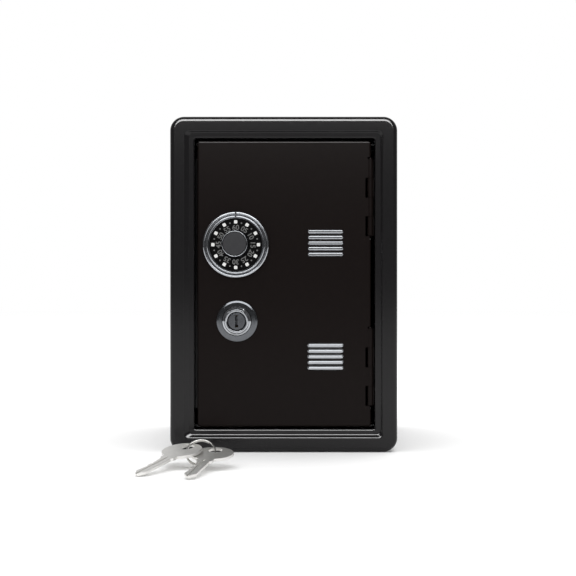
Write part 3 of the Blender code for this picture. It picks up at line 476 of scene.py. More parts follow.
def rounded_rectangle(sides: Sides, inset: float, radius: float, steps: int = 12) -> Outline:
    """A rectangle with round corners, anticlockwise from its lower right corner.

    Args:
        sides: Left, right, bottom and top.
        inset: How far the outline is moved in from the sides.
        radius: The corners' radius.
        steps: Steps in each corner.

    Returns:
        The outline.
    """
    left, right, bottom, top = sides
    reach = inset + radius
    corners = (
        (right - reach, bottom + reach),
        (right - reach, top - reach),
        (left + reach, top - reach),
        (left + reach, bottom + reach),
    )
    outline = []
    for turn, corner in enumerate(corners):
        outline += arc(corner, radius, QUARTER * (turn - 1), QUARTER * turn, steps)
    return outline


def eased(profile: Outline, radius: float, closed: bool = False, steps: int = 4) -> Outline:
    """Rounds the corners of a profile.

    Args:
        profile: Its corners in order.
        radius: The radius of each corner, less where a side is short.
        closed: Whether the last corner joins the first.
        steps: Steps in each rounded corner.

    Returns:
        The rounded profile.
    """
    short_share = 0.45
    nearly_straight = math.radians(178)
    points = []
    for place, corner in enumerate(profile):
        ends_here = place in (0, len(profile) - 1) and not closed
        here = Vector(corner)
        back = Vector(profile[place - 1]) - here
        ahead = Vector(profile[(place + 1) % len(profile)]) - here
        if ends_here or back.angle(ahead) > nearly_straight:
            points.append(corner)
            continue
        reach = radius / math.tan(back.angle(ahead) / 2)
        reach = min(reach, short_share * back.length, short_share * ahead.length)
        first = here + back.normalized() * reach
        last = here + ahead.normalized() * reach
        for step in range(steps + 1):
            share = step / steps
            point = first.lerp(here, share).lerp(here.lerp(last, share), share)
            points.append((point.x, point.y))
    return points


def smoothed(mesh: bpy.types.Mesh, crease: float = CREASE) -> bpy.types.Mesh:
    """Shades a mesh smooth, apart from edges sharper than a crease angle in degrees."""
    mesh.shade_smooth()
    mesh.set_sharp_from_angle(angle=math.radians(crease))
    return mesh


def mesh_of(name: str, bm: bmesh.types.BMesh) -> bpy.types.Mesh:
    """Welds a working mesh and stores it.

    Args:
        name: The mesh's name.
        bm: The working mesh, which is freed.

    Returns:
        The mesh, shaded smooth.
    """
    bmesh.ops.remove_doubles(bm, verts=bm.verts, dist=WELD)
    mesh = bpy.data.meshes.new(name)
    bm.to_mesh(mesh)
    bm.free()
    return smoothed(mesh)


def skin(name: str, rings: Sequence[Ring], first: bool = False, last: bool = False) -> bpy.types.Mesh:
    """A skin over rings with the same number of points.

    Args:
        name: The mesh's name.
        rings: The rings in order, so that the skin's outside is on the right.
        first: Whether the first ring is closed with a face.
        last: Whether the last ring is.

    Returns:
        The mesh.
    """
    bm = bmesh.new()
    rows = [[bm.verts.new(point) for point in ring] for ring in rings]
    count = len(rows[0])
    for row, following in zip(rows, rows[1:]):
        for place in range(count):
            after = (place + 1) % count
            bm.faces.new((row[place], row[after], following[after], following[place]))
    if first:
        bm.faces.new(rows[0][::-1])
    if last:
        bm.faces.new(rows[-1])
    return mesh_of(name, bm)


def lathe(name: str, profile: Outline, steps: int = 96, closed: bool = False) -> bpy.types.Mesh:
    """Turns a profile about local Z.

    Args:
        name: The mesh's name.
        profile: Radius and height, down the outer side from top to bottom.
        steps: Steps round the axis.
        closed: Whether the last point joins the first, as on a bored piece.

    Returns:
        The mesh.
    """
    bm = bmesh.new()
    turns = [math.tau * step / steps for step in range(steps)]
    rows = []
    for radius, height in profile:
        around = turns if radius > WELD else turns[:1]
        points = [(radius * math.cos(a), radius * math.sin(a), height) for a in around]
        rows.append([bm.verts.new(point) for point in points])
    pairs = list(zip(rows, rows[1:]))
    if closed:
        pairs.append((rows[-1], rows[0]))
    for upper, lower in pairs:
        for step in range(steps):
            after = (step + 1) % steps
            loop = [
                upper[step % len(upper)],
                lower[step % len(lower)],
                lower[after % len(lower)],
                upper[after % len(upper)],
            ]
            corners = list(dict.fromkeys(loop))
            if len(corners) > 2:
                bm.faces.new(corners)
    return mesh_of(name, bm)


def box_solid(name: str, low: Iterable[float], high: Iterable[float]) -> bpy.types.Mesh:
    """A closed box between two corners."""
    low, high = Vector(low), Vector(high)
    bm = bmesh.new()
    bmesh.ops.create_cube(bm, size=1.0)
    bmesh.ops.scale(bm, vec=high - low, verts=bm.verts)
    bmesh.ops.translate(bm, vec=(high + low) / 2, verts=bm.verts)
    return mesh_of(name, bm)


def evaluated(obj: bpy.types.Object) -> bpy.types.Mesh:
    """Takes an object's mesh with its modifiers applied and removes the object.

    Args:
        obj: A linked object, which is removed.

    Returns:
        A plain mesh.
    """
    graph = bpy.context.evaluated_depsgraph_get()
    graph.update()
    mesh = bpy.data.meshes.new_from_object(
        obj.evaluated_get(graph), preserve_all_data_layers=True, depsgraph=graph
    )
    bpy.data.objects.remove(obj)
    return mesh


def linked(name: str, data: bpy.types.ID) -> bpy.types.Object:
    """Puts data into the scene as an object at the origin."""
    obj = bpy.data.objects.new(name, data)
    bpy.context.scene.collection.objects.link(obj)
    return obj


def plate(
    name: str, outlines: Sequence[Outline], thickness: float, ease: float = 0.0
) -> bpy.types.Mesh:
    """A blanked plate, centred on its local XY plane.

    Args:
        name: The mesh's name.
        outlines: The edge first, then the holes.
        thickness: The plate's full thickness.
        ease: The radius of its rounded edges.

    Returns:
        The mesh.
    """
    curve = bpy.data.curves.new(name, "CURVE")
    curve.dimensions = "2D"
    curve.fill_mode = "BOTH"
    curve.extrude = thickness / 2 - ease
    curve.bevel_depth = ease
    curve.bevel_resolution = 2
    curve.offset = -ease
    for outline in outlines:
        spline = curve.splines.new("POLY")
        spline.points.add(len(outline) - 1)
        for point, (x, y) in zip(spline.points, outline):
            point.co = (x, y, 0.0, 1.0)
        spline.use_cyclic_u = True
    mesh = evaluated(linked(name, curve))
    bpy.data.curves.remove(curve)
    bm = bmesh.new()
    bm.from_mesh(mesh)
    bmesh.ops.remove_doubles(bm, verts=bm.verts, dist=WELD)
    bmesh.ops.recalc_face_normals(bm, faces=bm.faces)
    return mesh_of(name, bm)


def carved(
    name: str, base: bpy.types.Mesh, helpers: Sequence[tuple[Fusing, bpy.types.Mesh]]
) -> bpy.types.Mesh:
    """Cuts a solid with helpers, or joins them to it, in order.

    Args:
        name: The result's name.
        base: The solid.
        helpers: What each helper does, and its solid.

    Returns:
        The result, with its flat faces whole.
    """
    piece = linked(name, base)
    tools = []
    for fusing, mesh in helpers:
        tool = linked(mesh.name, mesh)
        tools.append(tool)
        modifier = piece.modifiers.new(mesh.name, "BOOLEAN")
        modifier.operation = fusing.value
        modifier.object = tool
        modifier.solver = "EXACT"
    mesh = evaluated(piece)
    for tool in tools:
        bpy.data.objects.remove(tool)
    return mesh


def with_thickness(name: str, mesh: bpy.types.Mesh, thickness: float) -> bpy.types.Mesh:
    """Gives a sheet its thickness, on the side away from its faces."""
    sheet = linked(name, mesh)
    modifier = sheet.modifiers.new("sheet", "SOLIDIFY")
    modifier.thickness = thickness
    modifier.offset = -1.0
    modifier.use_even_offset = True
    return smoothed(evaluated(sheet))


def polished(name: str, mesh: bpy.types.Mesh, ease: float = 0.0, crease: float = CREASE) -> bpy.types.Mesh:
    """Eases a mesh's sharp edges and keeps its flat faces flat under smooth shading.

    Args:
        name: The result's name.
        mesh: The mesh, with its edges still sharp.
        ease: The width of the eased edges, or 0 for none.
        crease: The angle in degrees past which an edge is sharp.

    Returns:
        The result.
    """
    smoothed(mesh, crease)
    piece = linked(name, mesh)
    if ease:
        bevel = piece.modifiers.new("ease", "BEVEL")
        bevel.width = ease
        bevel.segments = 2
        bevel.limit_method = "ANGLE"
        bevel.angle_limit = math.radians(crease)
        bevel.use_clamp_overlap = True
    weighted = piece.modifiers.new("flat", "WEIGHTED_NORMAL")
    weighted.keep_sharp = True
    weighted.weight = FLAT_FACE_PULL
    return evaluated(piece)


def copy_of_node(node: str) -> bpy.types.Mesh:
    """A merged copy of a CAD node's mesh, with its flat faces whole again.

    Args:
        node: The CAD node's name.

    Returns:
        The copy, in the frame's coordinates.
    """
    flat_within = math.radians(0.4)
    bm = bmesh.new()
    bm.from_mesh(frame["nodes"][node].data)
    bmesh.ops.remove_doubles(bm, verts=bm.verts, dist=CAD_WELD)
    bmesh.ops.dissolve_limit(
        bm, angle_limit=flat_within, verts=bm.verts, edges=bm.edges, use_dissolve_boundaries=False
    )
    mesh = bpy.data.meshes.new(node)
    bm.to_mesh(mesh)
    bm.free()
    for layer in list(mesh.uv_layers):
        mesh.uv_layers.remove(layer)
    return mesh


# ---------------------------------------------------------------- repeats by Geometry Nodes


def input_id(tree: bpy.types.NodeTree, name: str) -> str:
    """The identifier of a tree's input."""
    return next(item.identifier for item in tree.interface.items_tree if item.name == name)


def repeating_tree() -> bpy.types.NodeTree:
    """A tree that sets copies of a piece along a line and turns each about local Z.

    Returns:
        The tree, with inputs Piece, Count, Step, Turn, Start and Material.
    """
    tree = bpy.data.node_groups.new("repeat_piece", "GeometryNodeTree")
    for name, kind in (
        ("Piece", "NodeSocketObject"),
        ("Count", "NodeSocketInt"),
        ("Step", "NodeSocketVector"),
        ("Turn", "NodeSocketFloat"),
        ("Start", "NodeSocketFloat"),
        ("Material", "NodeSocketMaterial"),
    ):
        tree.interface.new_socket(name, in_out="INPUT", socket_type=kind)
    tree.interface.new_socket("Geometry", in_out="OUTPUT", socket_type="NodeSocketGeometry")
    given = add_node(tree, "NodeGroupInput").outputs
    line = add_node(
        tree,
        "GeometryNodeMeshLine",
        links={"Count": given["Count"], "Offset": given["Step"]},
    )
    index = add_node(tree, "GeometryNodeInputIndex")
    angle = add_node(
        tree,
        "ShaderNodeMath",
        operation="MULTIPLY_ADD",
        links={0: index.outputs["Index"], 1: given["Turn"], 2: given["Start"]},
    )
    turning = add_node(tree, "ShaderNodeCombineXYZ", links={"Z": angle.outputs[0]})
    piece = add_node(tree, "GeometryNodeObjectInfo", links={"Object": given["Piece"]})
    copies = add_node(
        tree,
        "GeometryNodeInstanceOnPoints",
        links={
            "Points": line.outputs["Mesh"],
            "Instance": piece.outputs["Geometry"],
            "Rotation": turning.outputs["Vector"],
        },
    )
    real = add_node(
        tree, "GeometryNodeRealizeInstances", links={"Geometry": copies.outputs["Instances"]}
    )
    dressed = add_node(
        tree,
        "GeometryNodeSetMaterial",
        links={"Geometry": real.outputs["Geometry"], "Material": given["Material"]},
    )
    add_node(tree, "NodeGroupOutput", links={"Geometry": dressed.outputs["Geometry"]})
    return tree


@dataclass
class Repeat:
    """A piece repeated along a line or round local Z."""

    tree: bpy.types.NodeTree
    count: int
    material: bpy.types.Material
    step: tuple[float, float, float] = (0.0, 0.0, 0.0)
    turn: float = 0.0
    start: float = 0.0

    def build(self, name: str, piece: bpy.types.Mesh) -> bpy.types.Mesh:
        """Repeats a piece and makes one plain mesh of the copies.

        Args:
            name: The mesh's name.
            piece: What is repeated.

        Returns:
            The copies.
        """
        pattern = linked(f"{name}_pattern", piece)
        carrier = linked(name, bpy.data.meshes.new(name))
        nodes = carrier.modifiers.new("repeat", "NODES")
        nodes.node_group = self.tree
        for key, value in (
            ("Piece", pattern),
            ("Count", self.count),
            ("Step", self.step),
            ("Turn", self.turn),
            ("Start", self.start),
            ("Material", self.material),
        ):
            nodes[input_id(self.tree, key)] = value
        mesh = evaluated(carrier)
        bpy.data.objects.remove(pattern)
        return mesh


# ---------------------------------------------------------------- the frame's places


def middle(node: str) -> Vector:
    """The middle of a CAD node's box."""
    low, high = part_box(node)
    return (low + high) / 2


def joint_place(name: str) -> Vector:
    """The point on a joint's axis that the record gives."""
    joints = frame["record"]["behaviour"]["joints"]
    return Vector(next(joint["pos_m"] for joint in joints if joint["name"] == name))


def facing_front(place: Vector) -> Matrix:
    """The place of a piece drawn with +Z towards the viewer and +Y up."""
    return Matrix.Translation(place) @ Matrix.Rotation(math.radians(QUARTER), 4, "X")


def show(
    name: str,
    mesh: bpy.types.Mesh,
    material: bpy.types.Material,
    body: Body,
    slot: Slot,
    *stands_for: str,
) -> bpy.types.Object:
    """Adds a finished piece to the object.

    Args:
        name: The piece's name.
        mesh: Its mesh, in the frame's coordinates.
        material: Its material.
        body: The body it moves with.
        slot: The record's slot for its finish; not used.
        *stands_for: The CAD nodes it replaces.

    Returns:
        The piece.
    """
    piece = linked(name, mesh)
    mesh.materials.clear()
    mesh.materials.append(material)
    mesh.polygons.foreach_set("material_index", [0] * len(mesh.polygons))
    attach(piece, body.value)
    if stands_for:
        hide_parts(*stands_for)
    LOG.info("%s rides on %s with %d faces", name, body.value, len(mesh.polygons))
    return piece


class Stock:
    """Every material, made once."""

    def __init__(self) -> None:
        """Builds the materials from the finishes."""
        # the door's enamel is a darker shaded copy of the frame's
        self.door_shaded_enamel_copy = DOOR_SHADED_ENAMEL_COPY.material()
        self.frame_enamel = FRAME_ENAMEL.material()
        self.chrome = CHROME.material()
        # the lock's chrome, darkened as painted shade
        self.shade_darkened_chrome = SHADE_DARKENED_CHROME.material()
        self.abs = MOULDED_ABS.material()
        self.cap = SPUN_GREY.material()
        self.white_ink = WHITE_INK.material()
        self.grey_ink = GREY_INK.material()
        self.zinc = ZINC.material()
        self.wire = SPRING_WIRE.material()
        self.nickel = KEY_NICKEL.material()
        # the wafers' brass is darkened as painted shade for the shade in the keyway
        self.brass = KEYWAY_SHADED_BRASS.material()
        self.floor = PALE_FLOOR.material()


# ---------------------------------------------------------------- cabinet


@dataclass
class Cabinet:
    """The wrapped shell with its coin slot, the back panel and the latch strip."""

    stock: Stock
    sheet: float = 0.8 * MM
    corner: float = 7.5 * MM
    slot_length: float = 36.0 * MM
    slot_width: float = 4.6 * MM
    fit: float = 1.1 * MM  # from the shell's outside to the pieces that nest in it
    back_flange: float = 8.0 * MM
    back_edge: float = 1.4 * MM
    pressing_border: float = 14.0 * MM
    pressing_depth: float = 1.2 * MM
    pressing_slope: float = 45.0  # the steepest part of the pressing's edge, in degrees
    slot_edge: float = 0.12 * MM
    strip_edge: float = 0.1 * MM
    edge_steps: int = 6
    bend_steps: int = 3

    def sides(self) -> Sides:
        """The cabinet's outline seen from the front."""
        low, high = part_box("body_shell")
        return low.x, high.x, low.z, high.z

    def ring(self, inset: float, radius: float, y: float) -> Ring:
        """A rounded outline at a depth."""
        outline = rounded_rectangle(self.sides(), inset, radius)
        return [(x, y, z) for x, z in outline]

    def shell(self) -> bpy.types.Mesh:
        """The wrapper, open at both ends, with the coin slot cut through its top."""
        low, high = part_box("body_shell")
        rings = [self.ring(0.0, self.corner, y) for y in (high.y, low.y)]
        wall = with_thickness("shell_wall", skin("shell_wall", rings), self.sheet)
        half = (self.slot_length / 2, self.slot_width / 2)
        round_end = half[1] - 10 * WELD  # just short of a half circle, so that no points meet
        ends = rounded_rectangle((-half[0], half[0], -half[1], half[1]), 0.0, round_end)
        right_through = 4 * self.sheet
        cutter = plate("coin_slot", [ends], right_through)
        cutter.transform(Matrix.Translation((0.0, 0.0, high.z)))
        return polished("shell", carved("shell", wall, [(Fusing.CUT, cutter)]), self.slot_edge)

    def back(self) -> bpy.types.Mesh:
        """The rear panel: a flange inside the shell, a rounded edge and a shallow pressing."""
        _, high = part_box("back_panel")
        radius = self.corner - self.fit
        rings = [self.ring(self.fit, radius, high.y - self.back_flange)]
        for across, along in arc((0.0, 0.0), self.back_edge, 0.0, QUARTER, self.edge_steps):
            inset = self.back_edge - across
            y = high.y - self.back_edge + along
            rings.append(self.ring(self.fit + inset, radius - inset, y))
        border = self.fit + self.pressing_border
        bend = self.pressing_depth / 2
        steepest = QUARTER - self.pressing_slope
        for across, along in arc((0.0, 0.0), bend, QUARTER, steepest, self.bend_steps):
            rings.append(self.ring(border + across, radius, high.y - bend + along))
        steepest = 3 * QUARTER - self.pressing_slope
        for across, along in arc((0.0, 0.0), bend, steepest, 3 * QUARTER, self.bend_steps):
            inset = border + 2 * bend + across
            rings.append(self.ring(inset, radius, high.y - self.pressing_depth + bend + along))
        mesh = skin("rear_panel", rings, last=True)
        mesh.flip_normals()
        return polished("rear_panel", with_thickness("rear_panel", mesh, self.sheet))

    def build(self) -> None:
        """Adds the cabinet's pieces."""
        enamel = self.stock.frame_enamel
        body = Body.CABINET
        show("shell_wrapper", self.shell(), enamel, body, Slot.ENAMEL, "body_shell")
        show("rear_panel", self.back(), enamel, body, Slot.ENAMEL, "back_panel")
        strip = polished("latch_angle", copy_of_node("latch_strip"), self.strip_edge)
        show("latch_angle", strip, enamel, body, Slot.ENAMEL, "latch_strip")


@dataclass
class FrontFrame:
    """The stamped surround: a rounded outer edge, a flat band, a step and a jamb."""

    stock: Stock
    sheet: float = 0.8 * MM
    corner: float = 7.5 * MM
    fit: float = 1.1 * MM
    flange: float = 6.0 * MM
    joggle: float = 1.0 * MM
    joggle_foot: float = 0.2 * MM  # where the joggle meets the flange
    joggle_bend: float = 0.15 * MM
    joggle_start: float = 0.1 * MM
    joggle_lead: float = 0.3 * MM  # where it leaves the wall
    wall_depth: float = 8.0 * MM
    edge_radius: float = 2.8 * MM
    band: float = 7.5 * MM
    step_depth: float = 1.4 * MM
    step_bend: float = 1.0 * MM
    step_slope: float = 45.0  # the steepest part of the step, in degrees
    step_corner: float = 2.4 * MM
    lip: float = 2.5 * MM
    lip_radius: float = 0.9 * MM
    jamb_depth: float = 9.0 * MM
    borders: Sides = (13.0 * MM, 12.1 * MM, 12.3 * MM, 11.6 * MM)
    opening_corner: float = 1.2 * MM
    edge_steps: int = 12
    bend_steps: int = 8
    lip_steps: int = 6

    def build(self) -> None:
        """Adds the frame."""
        low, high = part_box("front_frame")
        outer = (low.x, high.x, low.z, high.z)
        opening = (
            low.x + self.borders[0],
            high.x - self.borders[1],
            low.z + self.borders[2],
            high.z - self.borders[3],
        )
        front = low.y
        rings: list[Ring] = []

        def add(sides: Sides, inset: float, radius: float, y: float) -> None:
            """Adds a rounded outline at a depth."""
            outline = rounded_rectangle(sides, inset, radius)
            rings.append([(x, y, z) for x, z in outline])

        nested = self.corner - self.fit
        joggle_y = front + self.wall_depth
        add(outer, self.fit, nested, joggle_y + self.joggle + self.flange)
        add(outer, self.fit, nested, joggle_y + self.joggle + self.joggle_foot)
        add(outer, self.fit - self.joggle_bend, nested, joggle_y + self.joggle)
        bent = self.corner - self.joggle_bend
        add(outer, self.joggle_bend, bent, joggle_y + self.joggle_start)
        add(outer, 0.0, self.corner, joggle_y - self.joggle_lead)
        for across, along in arc((0.0, 0.0), self.edge_radius, 0.0, QUARTER, self.edge_steps):
            inset = self.edge_radius - across
            add(outer, inset, self.corner - inset, front + self.edge_radius - along)
        bend = self.step_bend
        steepest = QUARTER - self.step_slope
        for across, along in arc((0.0, 0.0), bend, QUARTER, steepest, self.bend_steps):
            add(outer, self.band + across, self.step_corner, front + bend - along)
        step_y = front + self.step_depth
        steepest = 3 * QUARTER - self.step_slope
        for across, along in arc((0.0, 0.0), bend, steepest, 3 * QUARTER, self.bend_steps):
            add(opening, -self.lip + across, self.step_corner, step_y - bend - along)
        for across, along in arc((0.0, 0.0), self.lip_radius, QUARTER, 0.0, self.lip_steps):
            inset = across - self.lip_radius
            radius = self.opening_corner - inset
            add(opening, inset, radius, step_y + self.lip_radius - along)
        add(opening, 0.0, self.opening_corner, front + self.jamb_depth)
        sheet = with_thickness("surround", skin("surround", rings), self.sheet)
        mesh = polished("surround", sheet)
        show("front_surround", mesh, self.stock.frame_enamel, Body.CABINET, Slot.ENAMEL, "front_frame")


# ---------------------------------------------------------------- door


@dataclass
class Door:
    """The door pan, its hinges and its two vents."""

    stock: Stock
    repeat: bpy.types.NodeTree
    bars: int = 5
    bar_length: float = 19.0 * MM
    bar_width: float = 1.8 * MM
    bar_pitch: float = 3.03 * MM
    bar_proud: float = 1.0 * MM
    bar_edge: float = 0.6 * MM
    bar_end_flat: float = 0.05 * MM  # the straight part left at each round end
    bar_steps: int = 6
    end_steps: int = 8
    plate_back: float = 1.7 * MM  # from the door's face back to the insert's back
    plate_thickness: float = 0.6 * MM
    edge: float = 0.12 * MM

    def bar(self) -> bpy.types.Mesh:
        """One vent bar with round ends and a rounded face, drawn facing the viewer."""
        sides = (-self.bar_length / 2, self.bar_length / 2, -self.bar_width / 2, self.bar_width / 2)
        foot = self.plate_thickness - self.plate_back
        levels = [(0.0, foot)]
        for across, along in arc((0.0, 0.0), self.bar_edge, 0.0, QUARTER, self.bar_steps):
            levels.append((self.bar_edge - across, self.bar_proud - self.bar_edge + along))
        rings = []
        for inset, height in levels:
            radius = self.bar_width / 2 - inset - self.bar_end_flat
            outline = rounded_rectangle(sides, inset, radius, self.end_steps)
            rings.append([(x, y, height) for x, y in outline])
        return skin("vent_bar", rings, first=True, last=True)

    def vent(self, side: str) -> None:
        """Adds one vent insert.

        Args:
            side: Which vent, as its node's name ends.
        """
        node = f"vent_insert_{side}"
        low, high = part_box(node)
        place = facing_front(Vector((middle(node).x, low.y + self.bar_proud, middle(node).z)))
        half = Vector(((high.x - low.x) / 2, (high.z - low.z) / 2))
        step = (0.0, self.bar_pitch, 0.0)
        bars = Repeat(self.repeat, self.bars, self.stock.chrome, step=step)
        mesh = bars.build(f"vent_bars_{side}", self.bar())
        mesh.transform(Matrix.Translation((0.0, -self.bar_pitch * (self.bars - 1) / 2, 0.0)))
        backing = box_solid(
            f"vent_plate_{side}",
            (-half.x, -half.y, -self.plate_back),
            (half.x, half.y, self.plate_thickness - self.plate_back),
        )
        whole = bmesh.new()
        whole.from_mesh(mesh)
        whole.from_mesh(backing)
        joined = mesh_of(f"vent_{side}", whole)
        joined.transform(place)
        joined = polished(f"vent_{side}", joined)
        show(f"vent_{side}_grille", joined, self.stock.chrome, Body.DOOR, Slot.CHROME, node)

    def build(self) -> None:
        """Adds the door's pieces."""
        stock = self.stock
        # the pan and the hinges take the enamel's darker shaded copy
        pan = polished("door_pan", copy_of_node("door_panel"), crease=FINE_CREASE)
        show("door_pan", pan, stock.door_shaded_enamel_copy, Body.DOOR, Slot.ENAMEL, "door_panel")
        for side in ("upper", "lower"):
            self.vent(side)
            leaf = polished(f"{side}_leaf", copy_of_node(f"hinge_{side}_leaf"), self.edge)
            show(
                f"{side}_hinge_leaf",
                leaf,
                stock.door_shaded_enamel_copy,
                Body.CABINET,
                Slot.ENAMEL,
                f"hinge_{side}_leaf",
            )
            pin = polished(f"{side}_pin", copy_of_node(f"hinge_{side}_pin"), self.edge)
            show(
                f"{side}_hinge_pin",
                pin,
                stock.door_shaded_enamel_copy,
                Body.CABINET,
                Slot.ENAMEL,
                f"hinge_{side}_pin",
            )


# ---------------------------------------------------------------- dial


@dataclass
class Dial:
    """The chrome bezel, the numbered disc and the knob that turn in it."""

    stock: Stock
    repeat: bpy.types.NodeTree
    ring_width: float = 1.5 * MM
    inner_ring_width: float = 1.1 * MM
    groove: float = 0.6 * MM
    groove_depth: float = 1.4 * MM
    floor: float = 0.9 * MM  # from the door's face to the bezel's floor
    ring_height: float = 2.6 * MM
    boss_bore: float = 2.3 * MM
    boss_radius: float = 3.7 * MM
    back_gap: float = 0.3 * MM
    index_width: float = 0.9 * MM
    index_depth: float = 0.8 * MM
    rim_width: float = 0.7 * MM
    rim_height: float = 0.25 * MM
    stem: float = 2.0 * MM
    knob_top_ease: float = 0.2 * MM
    knob_shoulder: float = 0.6 * MM  # how far its rounded shoulder reaches down
    knob_foot_ease: float = 0.6 * MM
    knob_foot_height: float = 0.8 * MM
    knob_round: float = 0.3 * MM
    knob_steps: int = 5
    cap_round: float = 0.15 * MM
    rim_slope_share: float = 0.3  # of the rim's width, on each side of its flat top
    rim_round: float = 0.1 * MM
    hardware_edge: float = 0.1 * MM
    bead_steps: int = 14
    turned_steps: int = 128
    marks: int = 12
    square: float = 1.78 * MM
    square_radius: float = 12.2 * MM  # from the axis to each square's middle
    dot: float = 0.42 * MM
    dot_radius: float = 11.9 * MM
    figure_height: float = 2.7 * MM
    figure_radius: float = 9.1 * MM
    figure_weight: float = 0.07 * MM  # how far each figure's strokes are thickened
    ink: float = 0.03 * MM
    square_corner_share: float = 0.22  # of a square's side
    figure_share: float = 0.72  # of the type's size that a figure is high
    figure_step: int = 5
    print_steps: int = 4

    def axis(self) -> Vector:
        """The point where the dial's axis meets the door's face."""
        return joint_place("dial_turn")

    def height(self, y: float) -> float:
        """How far a depth stands out of the door's face."""
        return self.axis().y - y

    def bead(self, inner: float, outer: float, top: float) -> Outline:
        """The half-round top of a ring, from its inner side to its outer side."""
        half = (outer - inner) / 2
        return arc((inner + half, top - half), half, 2 * QUARTER, 0.0, self.bead_steps)

    def bezel(self) -> bpy.types.Mesh:
        """The fixed bezel: two bright rings with a groove between them, and a boss behind."""
        low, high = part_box("dial_bezel")
        radius = (high.x - low.x) / 2
        end = self.height(high.y)
        outer = radius - self.ring_width
        inner = outer - self.groove
        seat = inner - self.inner_ring_width
        top = self.ring_height
        deep = top - self.groove_depth
        profile = [(self.boss_bore, self.floor), (seat, self.floor)]
        profile += self.bead(seat, inner, top)
        profile += [(inner, deep), (outer, deep)]
        profile += self.bead(outer, radius, top)
        profile += [
            (radius, self.back_gap),
            (self.boss_radius, self.back_gap),
            (self.boss_radius, end),
            (self.boss_bore, end),
        ]
        turned = lathe("bezel", profile, self.turned_steps, closed=True)
        past = 2 * MM  # how far the cutter reaches past what it cuts
        notch = box_solid(
            "index",
            (-self.index_width / 2, seat - past, top - self.index_depth),
            (self.index_width / 2, radius + past, top + past),
        )
        return polished("bezel", carved("bezel", turned, [(Fusing.CUT, notch)]))

    def disc(self) -> bpy.types.Mesh:
        """The moulded disc with its low rim."""
        low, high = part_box("dial_disc")
        radius = (high.x - low.x) / 2
        rim = self.height(low.y)
        top = rim - self.rim_height
        profile = [
            (self.boss_bore, top),
            (radius - self.rim_width, top),
            (radius - self.rim_width * (1 - self.rim_slope_share), rim),
            (radius - self.rim_width * self.rim_slope_share, rim),
            (radius, top),
            (radius, self.height(high.y)),
            (self.boss_bore, self.height(high.y)),
        ]
        rounded = eased(profile, self.rim_round, closed=True)
        return lathe("number_disc", rounded, self.turned_steps, closed=True)

    def printed(self) -> tuple[bpy.types.Mesh, bpy.types.Mesh, bpy.types.Mesh]:
        """The squares, the dots and the figures, lying on the disc's face."""
        low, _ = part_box("dial_disc")
        level = self.height(low.y) - self.rim_height + self.ink / 2
        turn = -math.tau / self.marks
        half = self.square / 2
        corner = self.square * self.square_corner_share
        edge = rounded_rectangle((-half, half, -half, half), 0.0, corner, self.print_steps)
        block = plate("mark", [edge], self.ink)
        block.transform(Matrix.Translation((0.0, self.square_radius, level)))
        squares = Repeat(self.repeat, self.marks, self.stock.white_ink, turn=turn)
        spot = plate("dot", [circle(self.dot, 4 * self.print_steps)], self.ink)
        spot.transform(Matrix.Translation((0.0, self.dot_radius, level)))
        dots = Repeat(self.repeat, self.marks, self.stock.grey_ink, turn=turn, start=turn / 2)
        figures = bmesh.new()
        for place in range(self.marks):
            number = self.figure_step * (place or self.marks)
            text = bpy.data.curves.new("figure", "FONT")
            text.body = f"{number:02d}"
            text.size = self.figure_height / self.figure_share
            text.align_x = "CENTER"
            text.align_y = "CENTER"
            text.extrude = self.ink / 2
            text.offset = self.figure_weight
            mesh = evaluated(linked("figure", text))
            bpy.data.curves.remove(text)
            mesh.transform(
                Matrix.Rotation(turn * place, 4, "Z")
                @ Matrix.Translation((0.0, self.figure_radius, level))
            )
            figures.from_mesh(mesh)
        return squares.build("squares", block), dots.build("dots", spot), mesh_of("figures", figures)

    def knob(self) -> bpy.types.Mesh:
        """The knob: a bright cup with a recess for its face, on a stem."""
        low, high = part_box("dial_knob")
        radius = (high.x - low.x) / 2
        top = self.height(low.y)
        end = self.height(high.y)
        cap_low, cap_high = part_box("dial_knob_cap")
        recess = (cap_high.x - cap_low.x) / 2 + self.back_gap
        floor = self.height(cap_high.y) - self.back_gap
        bottom = self.height(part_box("dial_disc")[0].y) - self.rim_height + self.back_gap
        profile = [
            (0.0, floor),
            (recess, floor),
            (recess, top),
            (radius - self.knob_top_ease, top),
            (radius, top - self.knob_shoulder),
            (radius, bottom + self.knob_foot_height),
            (radius - self.knob_foot_ease, bottom),
            (self.stem, bottom),
            (self.stem, end),
            (0.0, end),
        ]
        return lathe("knob", eased(profile, self.knob_round, steps=self.knob_steps))

    def cap(self) -> bpy.types.Mesh:
        """The grey face of the knob."""
        low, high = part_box("dial_knob_cap")
        radius = (high.x - low.x) / 2
        top = self.height(low.y)
        foot = self.height(high.y)
        profile = [(0.0, top), (radius, top), (radius, foot), (0.0, foot)]
        return lathe("knob_face", eased(profile, self.cap_round))

    def build(self) -> None:
        """Adds the dial's pieces."""
        place = facing_front(self.axis())
        stock = self.stock
        squares, dots, figures = self.printed()
        for name, mesh, material, body, slot, nodes in (
            ("bezel_ring", self.bezel(), stock.chrome, Body.DOOR, Slot.CHROME, ["dial_bezel"]),
            ("number_disc", self.disc(), stock.abs, Body.DIAL, Slot.PLASTIC, ["dial_disc"]),
            ("dial_squares", squares, stock.white_ink, Body.DIAL, Slot.PLASTIC, []),
            ("dial_dots", dots, stock.grey_ink, Body.DIAL, Slot.PLASTIC, []),
            ("dial_figures", figures, stock.grey_ink, Body.DIAL, Slot.PLASTIC, []),
            ("turning_knob", self.knob(), stock.chrome, Body.DIAL, Slot.CHROME, ["dial_knob"]),
            ("knob_face", self.cap(), stock.cap, Body.DIAL, Slot.CAP, ["dial_knob_cap"]),
        ):
            mesh.transform(place)
            show(name, mesh, material, body, slot, *nodes)
        for node, body in (
            ("dial_push_nut", Body.DOOR),
            ("dial_washer", Body.DIAL),
            ("dial_screw", Body.DIAL),
        ):
            mesh = polished(node, copy_of_node(node), self.hardware_edge)
            show(f"{node}_plated", mesh, stock.zinc, body, Slot.ZINC, node)


# ---------------------------------------------------------------- lock


